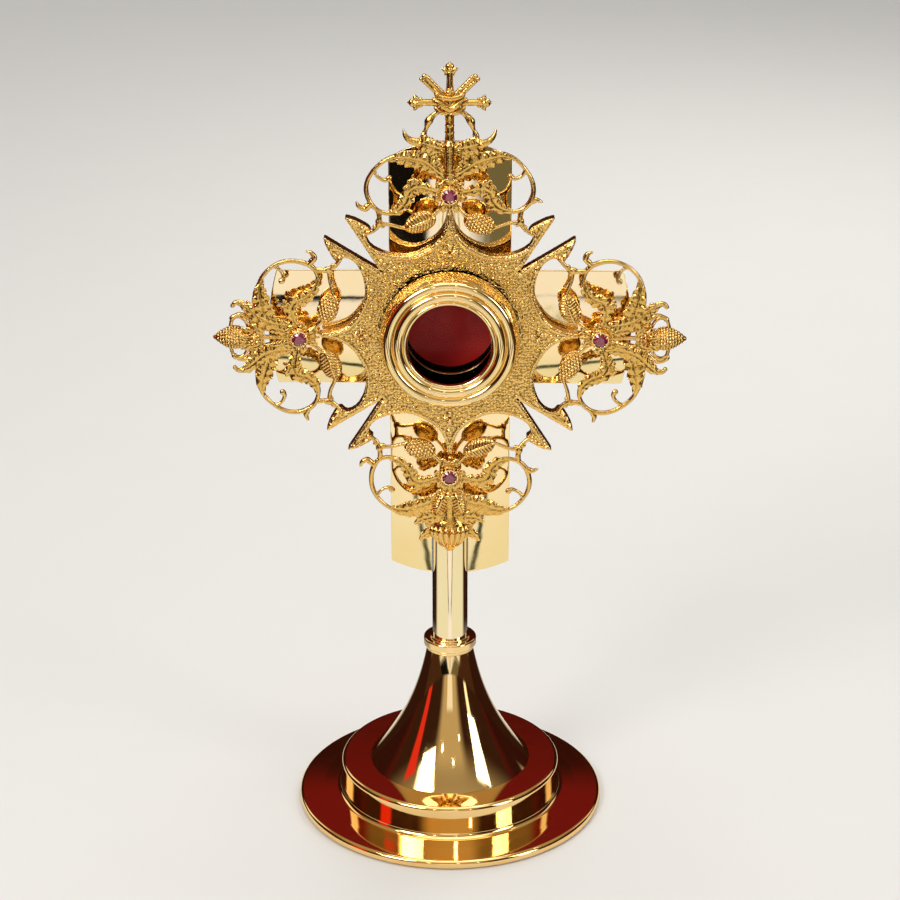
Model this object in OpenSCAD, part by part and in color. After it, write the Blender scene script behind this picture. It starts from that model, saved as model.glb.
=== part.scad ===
// Free-standing altar monstrance: a round spun foot, a trumpet cone, a plain tube
// stem and a cross-shaped head of vine openwork around a round glazed capsule.
// Origin: centre of the foot on the resting plane. +Z up, the glazed front faces -Y.

/* [Foot] */
// Outer radius of the foot
foot_r = 64.4; // [60:0.1:70]
// Radius of the raised step on the foot
step_r = 46.2; // [44.5:0.1:47.5]
// Height of the raised step
step_z = 18.5; // [17.5:0.1:20]
// Sheet thickness of the spun shells
sheet = 1.2; // [1:0.1:1.5]

/* [Stem] */
// Height where the trumpet cone ends under the collar
cone_top_z = 70.5; // [69:0.1:72]
// Outer radius of the collar
collar_r = 11; // [10.5:0.1:13]
// Outer radius of the stem tube
stem_r = 7.35; // [7.2:0.05:7.5]
// Height of the top end of the stem tube
stem_top_z = 122; // [118:0.5:124]

/* [Head] */
// Height of the centre of the capsule
head_z = 214; // [212:0.5:216]
// Distance from the capsule's centre to each garnet
gem_d = 60; // [59:0.1:61]
// Radius of each garnet
gem_r = 2.9; // [2.5:0.1:3.1]
// Thickness of the openwork castings
lace_t = 2.4; // [2:0.1:2.8]
// Radius of the capsule drum
drum_r = 25; // [24.8:0.1:25.2]
// Outer radius of the moulded lens rim
rim_r = 28; // [27.2:0.1:28.5]
// Radius of the clear opening in the lens rim
view_r = 17; // [16:0.1:17.4]

/* [Back cross] */
// Half width of the polished plates
plate_w = 24.5; // [23:0.1:24.6]
// Radius to which each plate is bowed
plate_bow = 87.5; // [80:0.5:110]

/* [Hidden] */
$fn = 72;

gold = [0.86, 0.66, 0.27];
pale = [0.90, 0.76, 0.42];
plate_y = -2.2;             // front of the bowed plates at their crown
lace_y = -9.03;             // back of the openwork castings
star_y = -7.4;              // back of the star plate
star_wall = 2.9;            // depth of the star plate's folded edge behind its face
pin_x = 27.6;               // door hinge axis
pin_y = 10.2;
latch_x = -29.6;            // latch pivot axis
post_r = 2;

// ---------- helpers ----------
function sub(a, b) = [a[0] - b[0], a[1] - b[1]];
function unit(v) = let (n = norm(v)) n == 0 ? [1, 0] : [v[0] / n, v[1] / n];
function crom(a, b, c, d, t) = 0.5 * ((2 * b) + (c - a) * t
    + (2 * a - 5 * b + 4 * c - d) * t * t + (3 * b - a - 3 * c + d) * t * t * t);
// a smooth path through the points of P, n steps to each span
function smooth(P, n = 3) = let (m = len(P)) concat(
    [for (i = [0 : m - 2], k = [0 : n - 1])
        let (a = P[max(i - 1, 0)], b = P[i], c = P[i + 1], d = P[min(i + 2, m - 1)])
        crom(a, b, c, d, k / n)], [P[m - 1]]);
function side_dir(Q, i) = let (t = unit(sub(Q[min(i + 1, len(Q) - 1)], Q[max(i - 1, 0)]))) [-t[1], t[0]];

// a ribbon through points [x, y, half width]
module ribbon(P, n = 3) {
    Q = smooth(P, n);
    m = len(Q);
    polygon(concat(
        [for (i = [0 : m - 1]) let (s = side_dir(Q, i)) [Q[i][0] + s[0] * Q[i][2], Q[i][1] + s[1] * Q[i][2]]],
        [for (i = [m - 1 : -1 : 0]) let (s = side_dir(Q, i)) [Q[i][0] - s[0] * Q[i][2], Q[i][1] - s[1] * Q[i][2]]]));
    translate([P[0][0], P[0][1]]) circle(r = P[0][2], $fn = 8);
    translate([P[len(P) - 1][0], P[len(P) - 1][1]]) circle(r = P[len(P) - 1][2], $fn = 8);
}
module both() { children(); mirror([1, 0]) children(); }
// a flat shape drawn in x and z, laid with its back at y and growing towards the front
module lay(y, t) { translate([0, y, head_z]) rotate([90, 0, 0]) linear_extrude(t) children(); }
// a profile of [radius, y] turned about the capsule's axis
module turn_y(P) { translate([0, 0, head_z]) rotate([-90, 0, 0]) rotate_extrude() polygon(P); }

// ---------- foot ----------
function cone_r(z) = -6.81 + 49.0 * exp(-(z - 18.5) / 47.55) - 8.09 * (70 - z) / 50;
function quarter(cx, cy, r, a0, a1, n = 6) = [for (i = [0 : n]) let (a = a0 + (a1 - a0) * i / n) [cx + r * cos(a), cy + r * sin(a)]];

module foot_shell() {
    color(gold) rotate_extrude() polygon(concat(
        [[foot_r - 1.4, 0.4], [foot_r - 0.4, 0.4]],
        quarter(foot_r - 2.6, 1.2, 2.6, 0, 90),
        [[54, 4.25]],
        quarter(step_r + 2.5, 7.1, 2.3, 270, 180),
        quarter(step_r - 1.8, step_z - 1.8, 1.8, 0, 90),
        [[30, step_z], [30, step_z - sheet]],
        quarter(step_r - 2, step_z - sheet - 0.8, 0.8, 90, 0, 3),
        [[step_r - 1.2, 7.1]],
        quarter(step_r + 2.5, 7.1, 3.6, 180, 262, 5),
        [[54, 3.0], [foot_r - 2.6, 2.5], [foot_r - 1.4, 1.4]]));
}

module trumpet_cone() {
    zs = [for (i = [0 : 26]) 18.5 + (cone_top_z - 18.5) * i / 26];
    color(gold) rotate_extrude() polygon(concat(
        [for (z = zs) [cone_r(z) + 0.0, z]],
        [for (i = [26 : -1 : 0]) let (z = zs[i]) [cone_r(z) - sheet - 0.5 * (1 - i / 26), z]]));
}

module foot_weight() {
    color("dimgray") difference() {
        translate([0, 0, 5]) cylinder(h = step_z - sheet - 5 - 0.05, r = step_r - 2.4);
        translate([0, 0, 4]) cylinder(h = 20, r = 3.3);
        translate([0, 0, 4]) cylinder(h = 8, r = 11);
        for (a = [45 : 90 : 359]) rotate(a) translate([30, 0, 4]) cylinder(h = 9, r = 4);
    }
}

module base_cover() {
    color("silver") difference() {
        translate([0, 0, 1.2]) cylinder(h = 0.8, r = foot_r - 2.2);
        translate([0, 0, 1]) cylinder(h = 2, r = 8);
    }
}

module base_felt() {
    color([0.30, 0.02, 0.05]) cylinder(h = 1.15, r = foot_r - 2.0);
}

module tie_rod() { color("silver") translate([0, 0, 5.2]) cylinder(h = 129, r = 2.98); }

module tie_nut() {
    color("silver") translate([0, 0, 5.9]) difference() {
        cylinder(h = 4.9, r = 5.77, $fn = 6);
        translate([0, 0, -1]) cylinder(h = 7, r = 3.02);
    }
}

module tie_washer() {
    color("silver") translate([0, 0, 10.85]) difference() {
        cylinder(h = 1.1, r = 9.5);
        translate([0, 0, -1]) cylinder(h = 3, r = 3.2);
    }
}

// ---------- stem ----------
module stem_collar() {
    z0 = cone_top_z + 0.03;
    color(gold) rotate_extrude() polygon(concat(
        [[3.2, z0], [collar_r - 1.5, z0]],
        quarter(collar_r - 1.6, z0 + 0.75, 0.75, 270, 360, 4),
        quarter(collar_r - 0.65, z0 + 2.2, 0.65, 240, 360, 4),
        quarter(collar_r - 0.7, z0 + 4.6, 0.7, 0, 90, 4),
        [[stem_r + 1.2, z0 + 5.3]],
        quarter(stem_r + 0.35, z0 + 5.3, 0.85, 0, 90, 4),
        [[3.2, z0 + 6.15]]));
}

module stem_tube() {
    z0 = cone_top_z + 6.22;
    color(pale) translate([0, 0, z0]) difference() {
        cylinder(h = stem_top_z - z0, r = stem_r);
        translate([0, 0, -1]) cylinder(h = stem_top_z, r = stem_r - 1.2);
    }
}

module stem_cap() {
    color(gold) difference() {
        union() {
            translate([0, 0, stem_top_z + 0.03]) cylinder(h = 3.5, r = stem_r);
            translate([0, 0, stem_top_z - 8]) cylinder(h = 9, r = stem_r - 1.25);
        }
        translate([0, 0, stem_top_z - 9]) cylinder(h = 14, r = 3.03);
    }
}

// ---------- head structure ----------
bracket_z = stem_top_z + 3.6;
bracket_holes = [bracket_z + 17.9, head_z - 37];
module head_bracket() {
    color(gold) difference() {
        union() {
            translate([-6, -4.4, bracket_z]) cube([12, 8.8, 10.4]);
            translate([-6, -0.7, bracket_z + 6]) cube([12, 3.8, head_z - drum_r - bracket_z - 1]);
        }
        translate([0, 0, bracket_z - 1]) cylinder(h = 10.1, r = 3.02);
        translate([0, 0, head_z]) rotate([90, 0, 0]) translate([0, 0, -20]) cylinder(h = 40, r = drum_r + 0.03);
        for (z = bracket_holes) translate([0, 10, z]) rotate([90, 0, 0]) cylinder(h = 14, r = 1.27);
        // room for the head of the lower post's screw
        translate([0, 10, head_z - gem_d]) rotate([90, 0, 0]) cylinder(h = 14, r = 2.7);
    }
}

// two slotted screws that hold the lower plate on the bracket
module bracket_screws() {
    color("silver") for (z = bracket_holes) translate([0, 0, z]) difference() {
        union() {
            translate([0, 3.15, 0]) rotate([-90, 0, 0]) cylinder(h = 1.4, r = 2.4);
            translate([0, plate_y + 0.1, 0]) rotate([-90, 0, 0]) cylinder(h = 5.4, r = 1.25);
        }
        translate([-3, 4.0, -0.3]) cube([6, 1, 0.6]);
    }
}

module drum_hole() { circle(r = drum_r + 0.04); }
// one arm, drawn upwards from the capsule's centre: half width w, end at l, corners at l - rise
module arm_outline(w, l, rise) {
    R = (w * w + rise * rise) / (2 * rise);
    difference() {
        intersection() {
            polygon([[0, 0.1], [w, w + 0.1], [w, l + 1], [-w, l + 1], [-w, w + 0.1]]);
            translate([0, l - R]) circle(r = R, $fn = 180);
        }
        drum_hole();
    }
}
module bowed(along_x) {
    translate([0, plate_y + plate_bow, head_z]) rotate(along_x ? [0, 90, 0] : [0, 0, 0])
        difference() {
            translate([0, 0, -130]) cylinder(h = 260, r = plate_bow, $fn = 180);
            translate([0, 0, -131]) cylinder(h = 262, r = plate_bow - 1, $fn = 180);
        }
}
module front_half(a, w, l, rise) { lay(8, 12) rotate(a) arm_outline(w, l, rise); }
module post_hole(a) { translate([0, 6, head_z]) rotate([90, 0, 0]) rotate(a) translate([0, gem_d, 0]) cylinder(h = 12, r = 1.4); }

module back_plate_top() {
    color(pale) difference() {
        intersection() { bowed(false); front_half(0, plate_w, 79.5, 8.5); }
        post_hole(0);
    }
}
module back_plate_bottom() {
    color(pale) difference() {
        intersection() { bowed(false); front_half(180, plate_w, 108.6, 4.3); }
        post_hole(180);
        translate([-stem_r - 0.2, -6, head_z - 120]) cube([2 * stem_r + 0.4, 12, bracket_z + 11 - head_z + 120]);
        for (z = bracket_holes) translate([0, 10, z]) rotate([90, 0, 0]) cylinder(h = 20, r = 1.27);
    }
}
module back_plate_left() {
    color(pale) difference() {
        intersection() { bowed(true); front_half(90, plate_w, 73, 3.5); }
        post_hole(90);
    }
}
module back_plate_right() {
    color(pale) difference() {
        intersection() { bowed(true); front_half(-90, plate_w, 73, 3.5); }
        post_hole(-90);
    }
}

module capsule_drum() {
    color(gold) difference() {
        union() {
            turn_y([[drum_r - 2.2, -7.35], [drum_r, -7.35], [drum_r, 9.0], [drum_r - 2.2, 9.0]]);
            // knuckles of the door hinge, each on its own lug
            for (z = [-5.35, 5.35]) translate([0, 0, head_z + z]) {
                translate([pin_x, pin_y, -2.15]) cylinder(h = 4.3, r = 2.2);
                translate([drum_r - 1.0, 4.9, -2.15]) cube([4.8, 4, 4.3]);
            }
            // lug for the latch
            translate([latch_x, 3.5, head_z]) rotate([-90, 0, 0]) cylinder(h = 8.15, r = 2.8);
            translate([latch_x, 3.5, head_z - 2.2]) cube([5.6, 5, 4.4]);
        }
        translate([pin_x, pin_y, head_z - 10]) cylinder(h = 20, r = 1.02);
        translate([latch_x, 5, head_z]) rotate([-90, 0, 0]) cylinder(h = 10, r = 1.2);
    }
}

// ---------- star plate ----------
// one corner spike: straight along the notch, hollow towards the lobe, with a broad leaf at its end
module corner_spike() {
    polygon(concat([[24, 26], [28, 28.2], [36.6, 42.0], [41.3, 49.4], [40.9, 49.8]],
        smooth([[40.9, 49.8], [38.0, 49.0], [34.8, 47.4], [32.2, 45.8], [31.0, 43.9], [32.2, 42.7], [32.9, 41.2], [31.6, 38.3],
            [28.7, 36.05], [24.5, 34.35], [19.3, 33.65], [14, 33.9]], 2)));
}
module cardinal_spike() {
    both() polygon(concat([[0, 30], [0, 51.5]],
        smooth([[0.7, 51.4], [1.6, 46.5], [4.0, 41.2], [8.6, 37], [14.5, 34.4], [20, 33.5]], 3), [[20, 28]]));
}
module star_outline() {
    difference() {
        union() {
            difference() {
                union() {
                    circle(r = 38.2, $fn = 72);
                    for (a = [0 : 90 : 359]) rotate(a) cardinal_spike();
                }
                for (a = [0 : 90 : 359]) rotate(a) both() translate([19.6, 51.2]) circle(r = 17.7, $fn = 60);
            }
            for (a = [0 : 90 : 359]) rotate(a) both() corner_spike();
        }
        circle(r = 22.7, $fn = 90);
        // narrow notch between the two spikes of each corner
        for (a = [0 : 90 : 359]) rotate(a) polygon([[28, 28], [41.8, 50.2], [50.2, 41.8]]);
    }
}
module star_plate() {
    color(gold) {
        lay(star_y, 1.6) offset(delta = 0.02) star_outline();
        // wall folded back along the edge, clear of the capsule
        lay(star_y + star_wall, star_wall + 0.2) difference() {
            offset(delta = 0.02) star_outline();
            offset(delta = -1.3) star_outline();
            circle(r = drum_r + 0.6);
        }
        // raised leaf on each cardinal spike
        lay(star_y - 1.55, 0.6) for (a = [0 : 90 : 359]) rotate(a) translate([0, 35.4])
            for (b = [0 : 90 : 359]) rotate(b) scale([0.5, 1]) translate([0, 1.9]) circle(r = 1.4, $fn = 13);
    }
}

// ---------- vine castings ----------
module half_lobe() {
    // scroll ring
    translate([-19.5, 2.5]) difference() { circle(r = 12.5, $fn = 40); circle(r = 11.2, $fn = 40); }
    // outer acanthus leaf over the ring
    ribbon([[-2.2, 7, 0.9], [-8, 10.8, 1.8], [-15, 13.2, 2.6], [-21.5, 13.2, 2.2], [-27, 10.2, 1.0]]);
    // inner acanthus leaf from the garnet to the foot of the ring
    ribbon([[-3, 0.6, 0.8], [-8.5, 2.8, 1.6], [-14.5, 2.4, 2.0], [-18, -1.8, 1.8], [-21.2, -6, 1.5], [-27, -7.4, 0.8]]);
    // curl inside the ring, thorn outside it
    ribbon([[-30.0, 8.4, 0.8], [-28.4, 4.8, 0.9], [-25.6, 3.4, 0.9], [-24.2, 4.8, 1.2]]);
    ribbon([[-31.2, -3.4, 0.9], [-34, -5.2, 1.0], [-36.4, -4.0, 0.6]]);
    // shoots down to the star plate
    ribbon([[-28.8, -6.4, 0.8], [-27.4, -11, 0.8], [-26.2, -15.2, 0.8], [-21.6, -15.4, 0.9], [-16, -14.6, 1.0]]);
    ribbon([[-27.6, -11.5, 0.8], [-28.8, -14.0, 0.8], [-31.8, -15.8, 0.8]]);
    // grape cluster and its stalk
    translate([-11.0, -11.6]) rotate(25) scale([1, 0.6]) circle(r = 5.9, $fn = 24);
    ribbon([[-1.4, -3.4, 0.9], [-5.8, -8.4, 0.9]], 2);
    // shoot from the upper leaf down the middle
    ribbon([[-1.2, 13, 0.8], [-4.6, 15.4, 0.9], [-7.0, 12.6, 0.8], [-5.4, 10.4, 0.9]]);
    // recurved end leaf
    ribbon([[-1.4, 15.8, 1.2], [-6.4, 17.8, 2.0], [-10.8, 19.6, 2.2], [-14.2, 21.2, 1.5], [-17.4, 25.4, 0.6]]);
}
module lobe_2d() {
    both() half_lobe();
    circle(r = 4.0, $fn = 24);
    ribbon([[0, 3, 1.6], [0, 10, 1.4], [0, 17.6, 1.7]], 2);
    ribbon([[0, -3, 1.0], [0, -8.2, 0.8]], 2);
    for (a = [45 : 90 : 359]) rotate(a) translate([0, 3.4]) scale([0.55, 1]) circle(r = 2.6, $fn = 14);
}
module vine_casting(a) {
    color(gold) {
        difference() {
            lay(lace_y, lace_t) offset(delta = 0.02) rotate(a) translate([0, gem_d]) lobe_2d();
            lay(lace_y + 1, 12) rotate(a) translate([0, gem_d]) circle(r = 1.26, $fn = 32);
        }
    }
}
module vine_casting_top() { vine_casting(0); }
module vine_casting_left() { vine_casting(90); }
module vine_casting_right() { vine_casting(-90); }
module vine_casting_bottom() { vine_casting(180); }

// ---------- finials ----------
module flared_end(l) { polygon([[-1.1, l - 5], [-1.15, l - 4], [-2.9, l - 2.5], [-1.3, l - 1.4], [0, l], [1.3, l - 1.4], [2.9, l - 2.5], [1.15, l - 4], [1.1, l - 5]]); }
module finial_cross() {
    color(gold) translate([-1.6, -9.5, head_z + 80.6]) cube([3.2, 1.9, 3]);
    color(gold) translate([-1.6, -8.98, head_z + 72]) cube([3.2, 1.38, 11]);
    color(gold) lay(lace_y, lace_t) offset(delta = 0.02) translate([0, 97.2]) {
        ribbon([[0, 0, 1.9], [0, -10, 1.55], [0, -16.0, 1.6]], 2);
        ribbon([[0, 0, 1.9], [0, 7, 1.3], [0, 12, 0.95]], 2);
        flared_end(16.3);
        both() {
            ribbon([[0, 0, 1.6], [6, 0, 1.3], [12, 0, 1.15]], 2);
            rotate(-90) flared_end(16.3);
            ribbon([[0, 0, 2], [4.5, 4.6, 1.5], [9.0, 9.2, 1.5]], 2);
            ribbon([[2, -2, 1.8], [6.4, -5.2, 1.7], [9.0, -8.4, 1.2], [10.2, -11.4, 1.0], [10.5, -13.2, 1.0]]);
        }
        circle(r = 4.6, $fn = 24);
    }
}
// pointed grape bud turned about its own length, with two curved prongs
module bud_2d() { polygon(concat([[0, 19.6]], smooth([[1.6, 19.7], [4.0, 23.4], [4.3, 27], [2.4, 31.2], [0.4, 34.1]], 4), [[0, 34.2]])); }
module bud_finial(a) {
    color(gold) {
        translate([0, lace_y - lace_t / 2, head_z]) rotate([0, -a, 0]) translate([0, 0, gem_d]) scale(1) rotate_extrude() bud_2d();
        translate([0, 0, head_z]) rotate([0, -a, 0]) {
            translate([-1.4, -8.98, gem_d + 12]) cube([2.8, 1.38, 10.5]);
            translate([-1.4, -10.2, gem_d + 19.9]) cube([2.8, 2.2, 2.6]);
        }
        lay(lace_y - 0.4, lace_t - 0.8) rotate(a) translate([0, gem_d]) both()
            ribbon([[0.6, 20.6, 0.9], [3.2, 20.3, 0.8], [6.2, 21.4, 0.8], [8.4, 23.8, 0.9], [8.9, 26.2, 1.0]]);
    }
}
module bud_finial_left() { bud_finial(90); }
module bud_finial_right() { bud_finial(-90); }

// leafy cup at the foot of the lower casting, in front of the stem's top
module stem_calyx() {
    color(gold) translate([-1.6, -8.98, head_z - 84]) cube([3.2, 1.38, 11]);
    color(gold) lay(-7.45, 3.4) offset(delta = 0.02) translate([0, -gem_d]) rotate(180) {
        translate([0, 25.6]) scale([1, 0.86]) circle(r = 6.9, $fn = 32);
        both() {
            ribbon([[-2, 27, 2.2], [-7, 27.6, 1.6], [-11.4, 28.6, 0.9]]);
        }
    }
}

// ---------- garnets, posts and screws ----------
module at_gems(y) { for (a = [0 : 90 : 359]) translate([0, y, head_z]) rotate([0, a, 0]) translate([0, 0, gem_d]) rotate([90, 0, 0]) children(); }
collet_y = lace_y - lace_t - 0.2;
module gem_collets() {
    color(gold) at_gems(collet_y) difference() {
        cylinder(h = 1.9, r1 = 4.2, r2 = gem_r + 0.55, $fn = 48);
        translate([0, 0, 0.6]) cylinder(h = 3, r = gem_r + 0.05, $fn = 48);
    }
}
module garnets() {
    color([0.45, 0.03, 0.10]) at_gems(collet_y - 0.65) {
        cylinder(h = 1.0, r = gem_r, $fn = 12);
        translate([0, 0, 1.0]) hull() { cylinder(h = 0.1, r = gem_r, $fn = 12); translate([0, 0, 1.0]) cylinder(h = 0.05, r = gem_r * 0.6, $fn = 12); }
    }
}
module casting_posts() {
    color(gold) at_gems(plate_y - 0.06) difference() {
        cylinder(h = plate_y - lace_y - 0.12, r = post_r, $fn = 48);
        translate([0, 0, -1]) cylinder(h = 20, r = 1.26, $fn = 48);
    }
}
module post_screws() {
    color("silver") at_gems(plate_y + 1.05) difference() {
        union() {
            translate([0, 0, -1.4]) cylinder(h = 1.35, r = 2.3, $fn = 48);
            translate([0, 0, -0.4]) cylinder(h = 10, r = 1.24, $fn = 48);
        }
        translate([-3, -0.3, -1.9]) cube([6, 0.6, 1]);
    }
}

// ---------- lens, luna and door ----------
// turned mouldings step forward from the star plate to the lens
module lens_rim() {
    y0 = -9.08;
    color(pale) turn_y(concat(
        [[20.6, -4.0], [22.5, -4.0], [22.5, -16.2], [23.3, -17.0], [24.8, -17.0], [25.7, -16.0], [25.9, y0], [rim_r - 0.2, y0], [rim_r, y0 - 0.2]],
        [[rim_r, -12.6]],
        smooth([[27.9, -13.6], [27.75, -15.4], [27.3, -17.2], [26.75, -18.3]], 2),
        smooth([[26.75, -18.35], [26.2, -19.7], [24.8, -20.3], [23.4, -19.9], [22.65, -19.1]], 2),
        smooth([[22.6, -19.15], [22.0, -20.4], [20.6, -20.9], [19.2, -20.5], [18.7, -19.8]], 2),
        smooth([[18.6, -19.85], [18.1, -20.3], [17.4, -20.0], [17.0, -19.1]], 2),
        [[view_r - 0.3, -17.9], [view_r - 0.3, -17.4], [20.6, -17.4]]));
}
module front_glass() { color([0.8, 0.9, 0.9, 0.3]) turn_y([[0, -17.3], [20.4, -17.3], [20.4, -15.4], [0, -15.4]]); }
module glass_retainer() { color(gold) turn_y([[17.8, -15.3], [20.5, -15.3], [20.5, -13.2], [18.6, -13.2]]); }
module luna_ring_front() {
    color(gold) turn_y([[18.2, -3.9], [22.2, -3.9], [22.2, -0.52], [19.6, -0.52], [19.6, -3.0], [18.2, -3.0]]);
}
module luna_ring_back() {
    color(gold) turn_y([[19.6, -0.48], [22.2, -0.48], [22.2, 4.5], [18.2, 4.5], [18.2, 4.0], [19.6, 4.0]]);
}
module luna_glasses() {
    color([0.8, 0.9, 0.9, 0.3]) {
        turn_y([[0, -2.95], [19.5, -2.95], [19.5, -1.75], [0, -1.75]]);
        turn_y([[0, 2.75], [19.5, 2.75], [19.5, 3.95], [0, 3.95]]);
    }
}
module door_plate() {
    color(gold) difference() {
        union() {
            turn_y([[0, 9.1], [24.6, 9.1], [24.6, 11.0], [23.4, 11.6], [21.6, 11.6], [21.0, 11.0], [13.0, 11.0], [12.2, 11.7], [11.2, 11.7], [10.4, 11.0], [0, 11.0]]);
            translate([pin_x, pin_y, head_z - 3.1]) cylinder(h = 6.2, r = 2.2);
            translate([pin_x - 5.2, 9.1, head_z - 3.1]) cube([5.2, 2.0, 6.2]);
        }
        translate([pin_x, pin_y, head_z - 10]) cylinder(h = 20, r = 1.06);
        translate([-16.5, 5, head_z]) rotate([-90, 0, 0]) cylinder(h = 10, r = 1.05);
    }
}
module door_pad() { color([0.55, 0.02, 0.05]) turn_y([[0, 4.6], [21.4, 4.6], [21.9, 5.1], [21.9, 9.05], [0, 9.05]]); }
module door_knob() {
    color(gold) translate([-16.5, 9.15, head_z]) rotate([-90, 0, 0])
        rotate_extrude() polygon(concat([[0, 0], [1.0, 0], [1.0, 1.9], [2.2, 1.9], [2.2, 2.5], [1.2, 3.1], [1.2, 4.0]],
            quarter(0, 5.6, 2.0, -50, 90, 8)));
}
module hinge_pin() {
    color("silver") translate([pin_x, pin_y, head_z]) {
        translate([0, 0, -8.4]) cylinder(h = 16.8, r = 1.0);
        for (z = [-8.9, 8.9]) translate([0, 0, z]) sphere(r = 1.35);
    }
}
// turn button, drawn released with its tongue pointing up
module latch_button() {
    color(gold) translate([latch_x, 11.75, head_z]) rotate([-90, 0, 0]) difference() {
        union() {
            cylinder(h = 1.4, r = 2.9);
            translate([-1.7, -8.2, 0]) cube([3.4, 8.2, 1.4]);
            translate([0, -8.2, 0]) cylinder(h = 1.4, r = 1.7);
        }
        translate([0, 0, -1]) cylinder(h = 4, r = 1.24);
    }
}
module latch_screw() {
    color("silver") translate([latch_x, 5.1, head_z]) rotate([-90, 0, 0]) difference() {
        union() {
            cylinder(h = 8.3, r = 1.18);
            translate([0, 0, 8.15]) cylinder(h = 1.3, r = 2.3);
        }
        translate([-3, -0.3, 8.9]) cube([6, 0.6, 1]);
    }
}

foot_shell();
trumpet_cone();
foot_weight();
base_cover();
base_felt();
tie_rod();
tie_nut();
tie_washer();
stem_collar();
stem_tube();
stem_cap();
head_bracket();
bracket_screws();
back_plate_top();
back_plate_bottom();
back_plate_left();
back_plate_right();
capsule_drum();
star_plate();
vine_casting_top();
vine_casting_left();
vine_casting_right();
vine_casting_bottom();
finial_cross();
bud_finial_left();
bud_finial_right();
stem_calyx();
gem_collets();
garnets();
casting_posts();
post_screws();
lens_rim();
front_glass();
glass_retainer();
luna_ring_front();
luna_ring_back();
luna_glasses();
door_plate();
door_pad();
door_knob();
hinge_pin();
latch_button();
latch_screw();
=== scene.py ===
# Looks for the standing monstrance: most visible metal pieces are rebuilt here as fine meshes around the imported
# frame, and the rest keep their imported shapes with new materials. Lengths below are millimetres and become metres
# when a mesh is made.
import math
import bpy
import bmesh
import numpy as np
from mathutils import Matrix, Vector

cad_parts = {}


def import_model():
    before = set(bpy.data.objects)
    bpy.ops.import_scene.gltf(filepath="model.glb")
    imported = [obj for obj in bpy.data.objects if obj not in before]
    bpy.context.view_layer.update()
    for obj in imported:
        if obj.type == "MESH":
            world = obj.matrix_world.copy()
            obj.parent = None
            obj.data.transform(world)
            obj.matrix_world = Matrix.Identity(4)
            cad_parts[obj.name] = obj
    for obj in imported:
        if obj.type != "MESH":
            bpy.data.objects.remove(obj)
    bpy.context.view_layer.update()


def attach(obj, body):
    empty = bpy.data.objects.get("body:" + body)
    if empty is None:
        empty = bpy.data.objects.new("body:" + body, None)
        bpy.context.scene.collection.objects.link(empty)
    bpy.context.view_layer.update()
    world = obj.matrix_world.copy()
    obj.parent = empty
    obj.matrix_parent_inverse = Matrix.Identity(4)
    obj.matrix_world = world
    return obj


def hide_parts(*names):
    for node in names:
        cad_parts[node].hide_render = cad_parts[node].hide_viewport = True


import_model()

MM = 0.001
HEAD = 214.0
GEM_D = 60.0
LACE = -9.03          # back plane of the castings
PLATE_Y = -2.2
RNG = np.random.default_rng(1824)
scene = bpy.context.scene

# ------------------------------------------------------------------ small maths
def unit(v):
    v = np.asarray(v, float)
    return v / max(np.linalg.norm(v), 1e-12)

def crom(P, n=8):
    """Smooth path through rows of P (any number of columns), n steps to each span."""
    P = np.asarray(P, float)
    out = []
    m = len(P)
    for i in range(m - 1):
        a, b, c, d = P[max(i - 1, 0)], P[i], P[i + 1], P[min(i + 2, m - 1)]
        for k in range(n):
            t = k / n
            out.append(0.5 * (2 * b + (c - a) * t + (2 * a - 5 * b + 4 * c - d) * t * t + (3 * b - a - 3 * c + d) * t ** 3))
    out.append(P[-1])
    return np.array(out)

def mesh_obj(name, verts, faces, smooth=True, scale=MM, normals=None):
    me = bpy.data.meshes.new(name)
    v = np.asarray(verts, float) * scale
    me.from_pydata(v.tolist(), [], [tuple(int(i) for i in f) for f in faces])
    me.validate()
    bm = bmesh.new(); bm.from_mesh(me)
    bmesh.ops.recalc_face_normals(bm, faces=bm.faces)
    bm.to_mesh(me); bm.free()
    if smooth:
        me.shade_smooth()
    if normals is not None:
        me.normals_split_custom_set_from_vertices([tuple(n) for n in normals])
    me.update()
    ob = bpy.data.objects.new(name, me)
    scene.collection.objects.link(ob)
    return ob

def finish_piece(ob, body, slot, mat, *nodes):
    ob.data.materials.clear()
    ob.data.materials.append(mat)
    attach(ob, body)
    if nodes:
        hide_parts(*nodes)
    return ob

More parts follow.
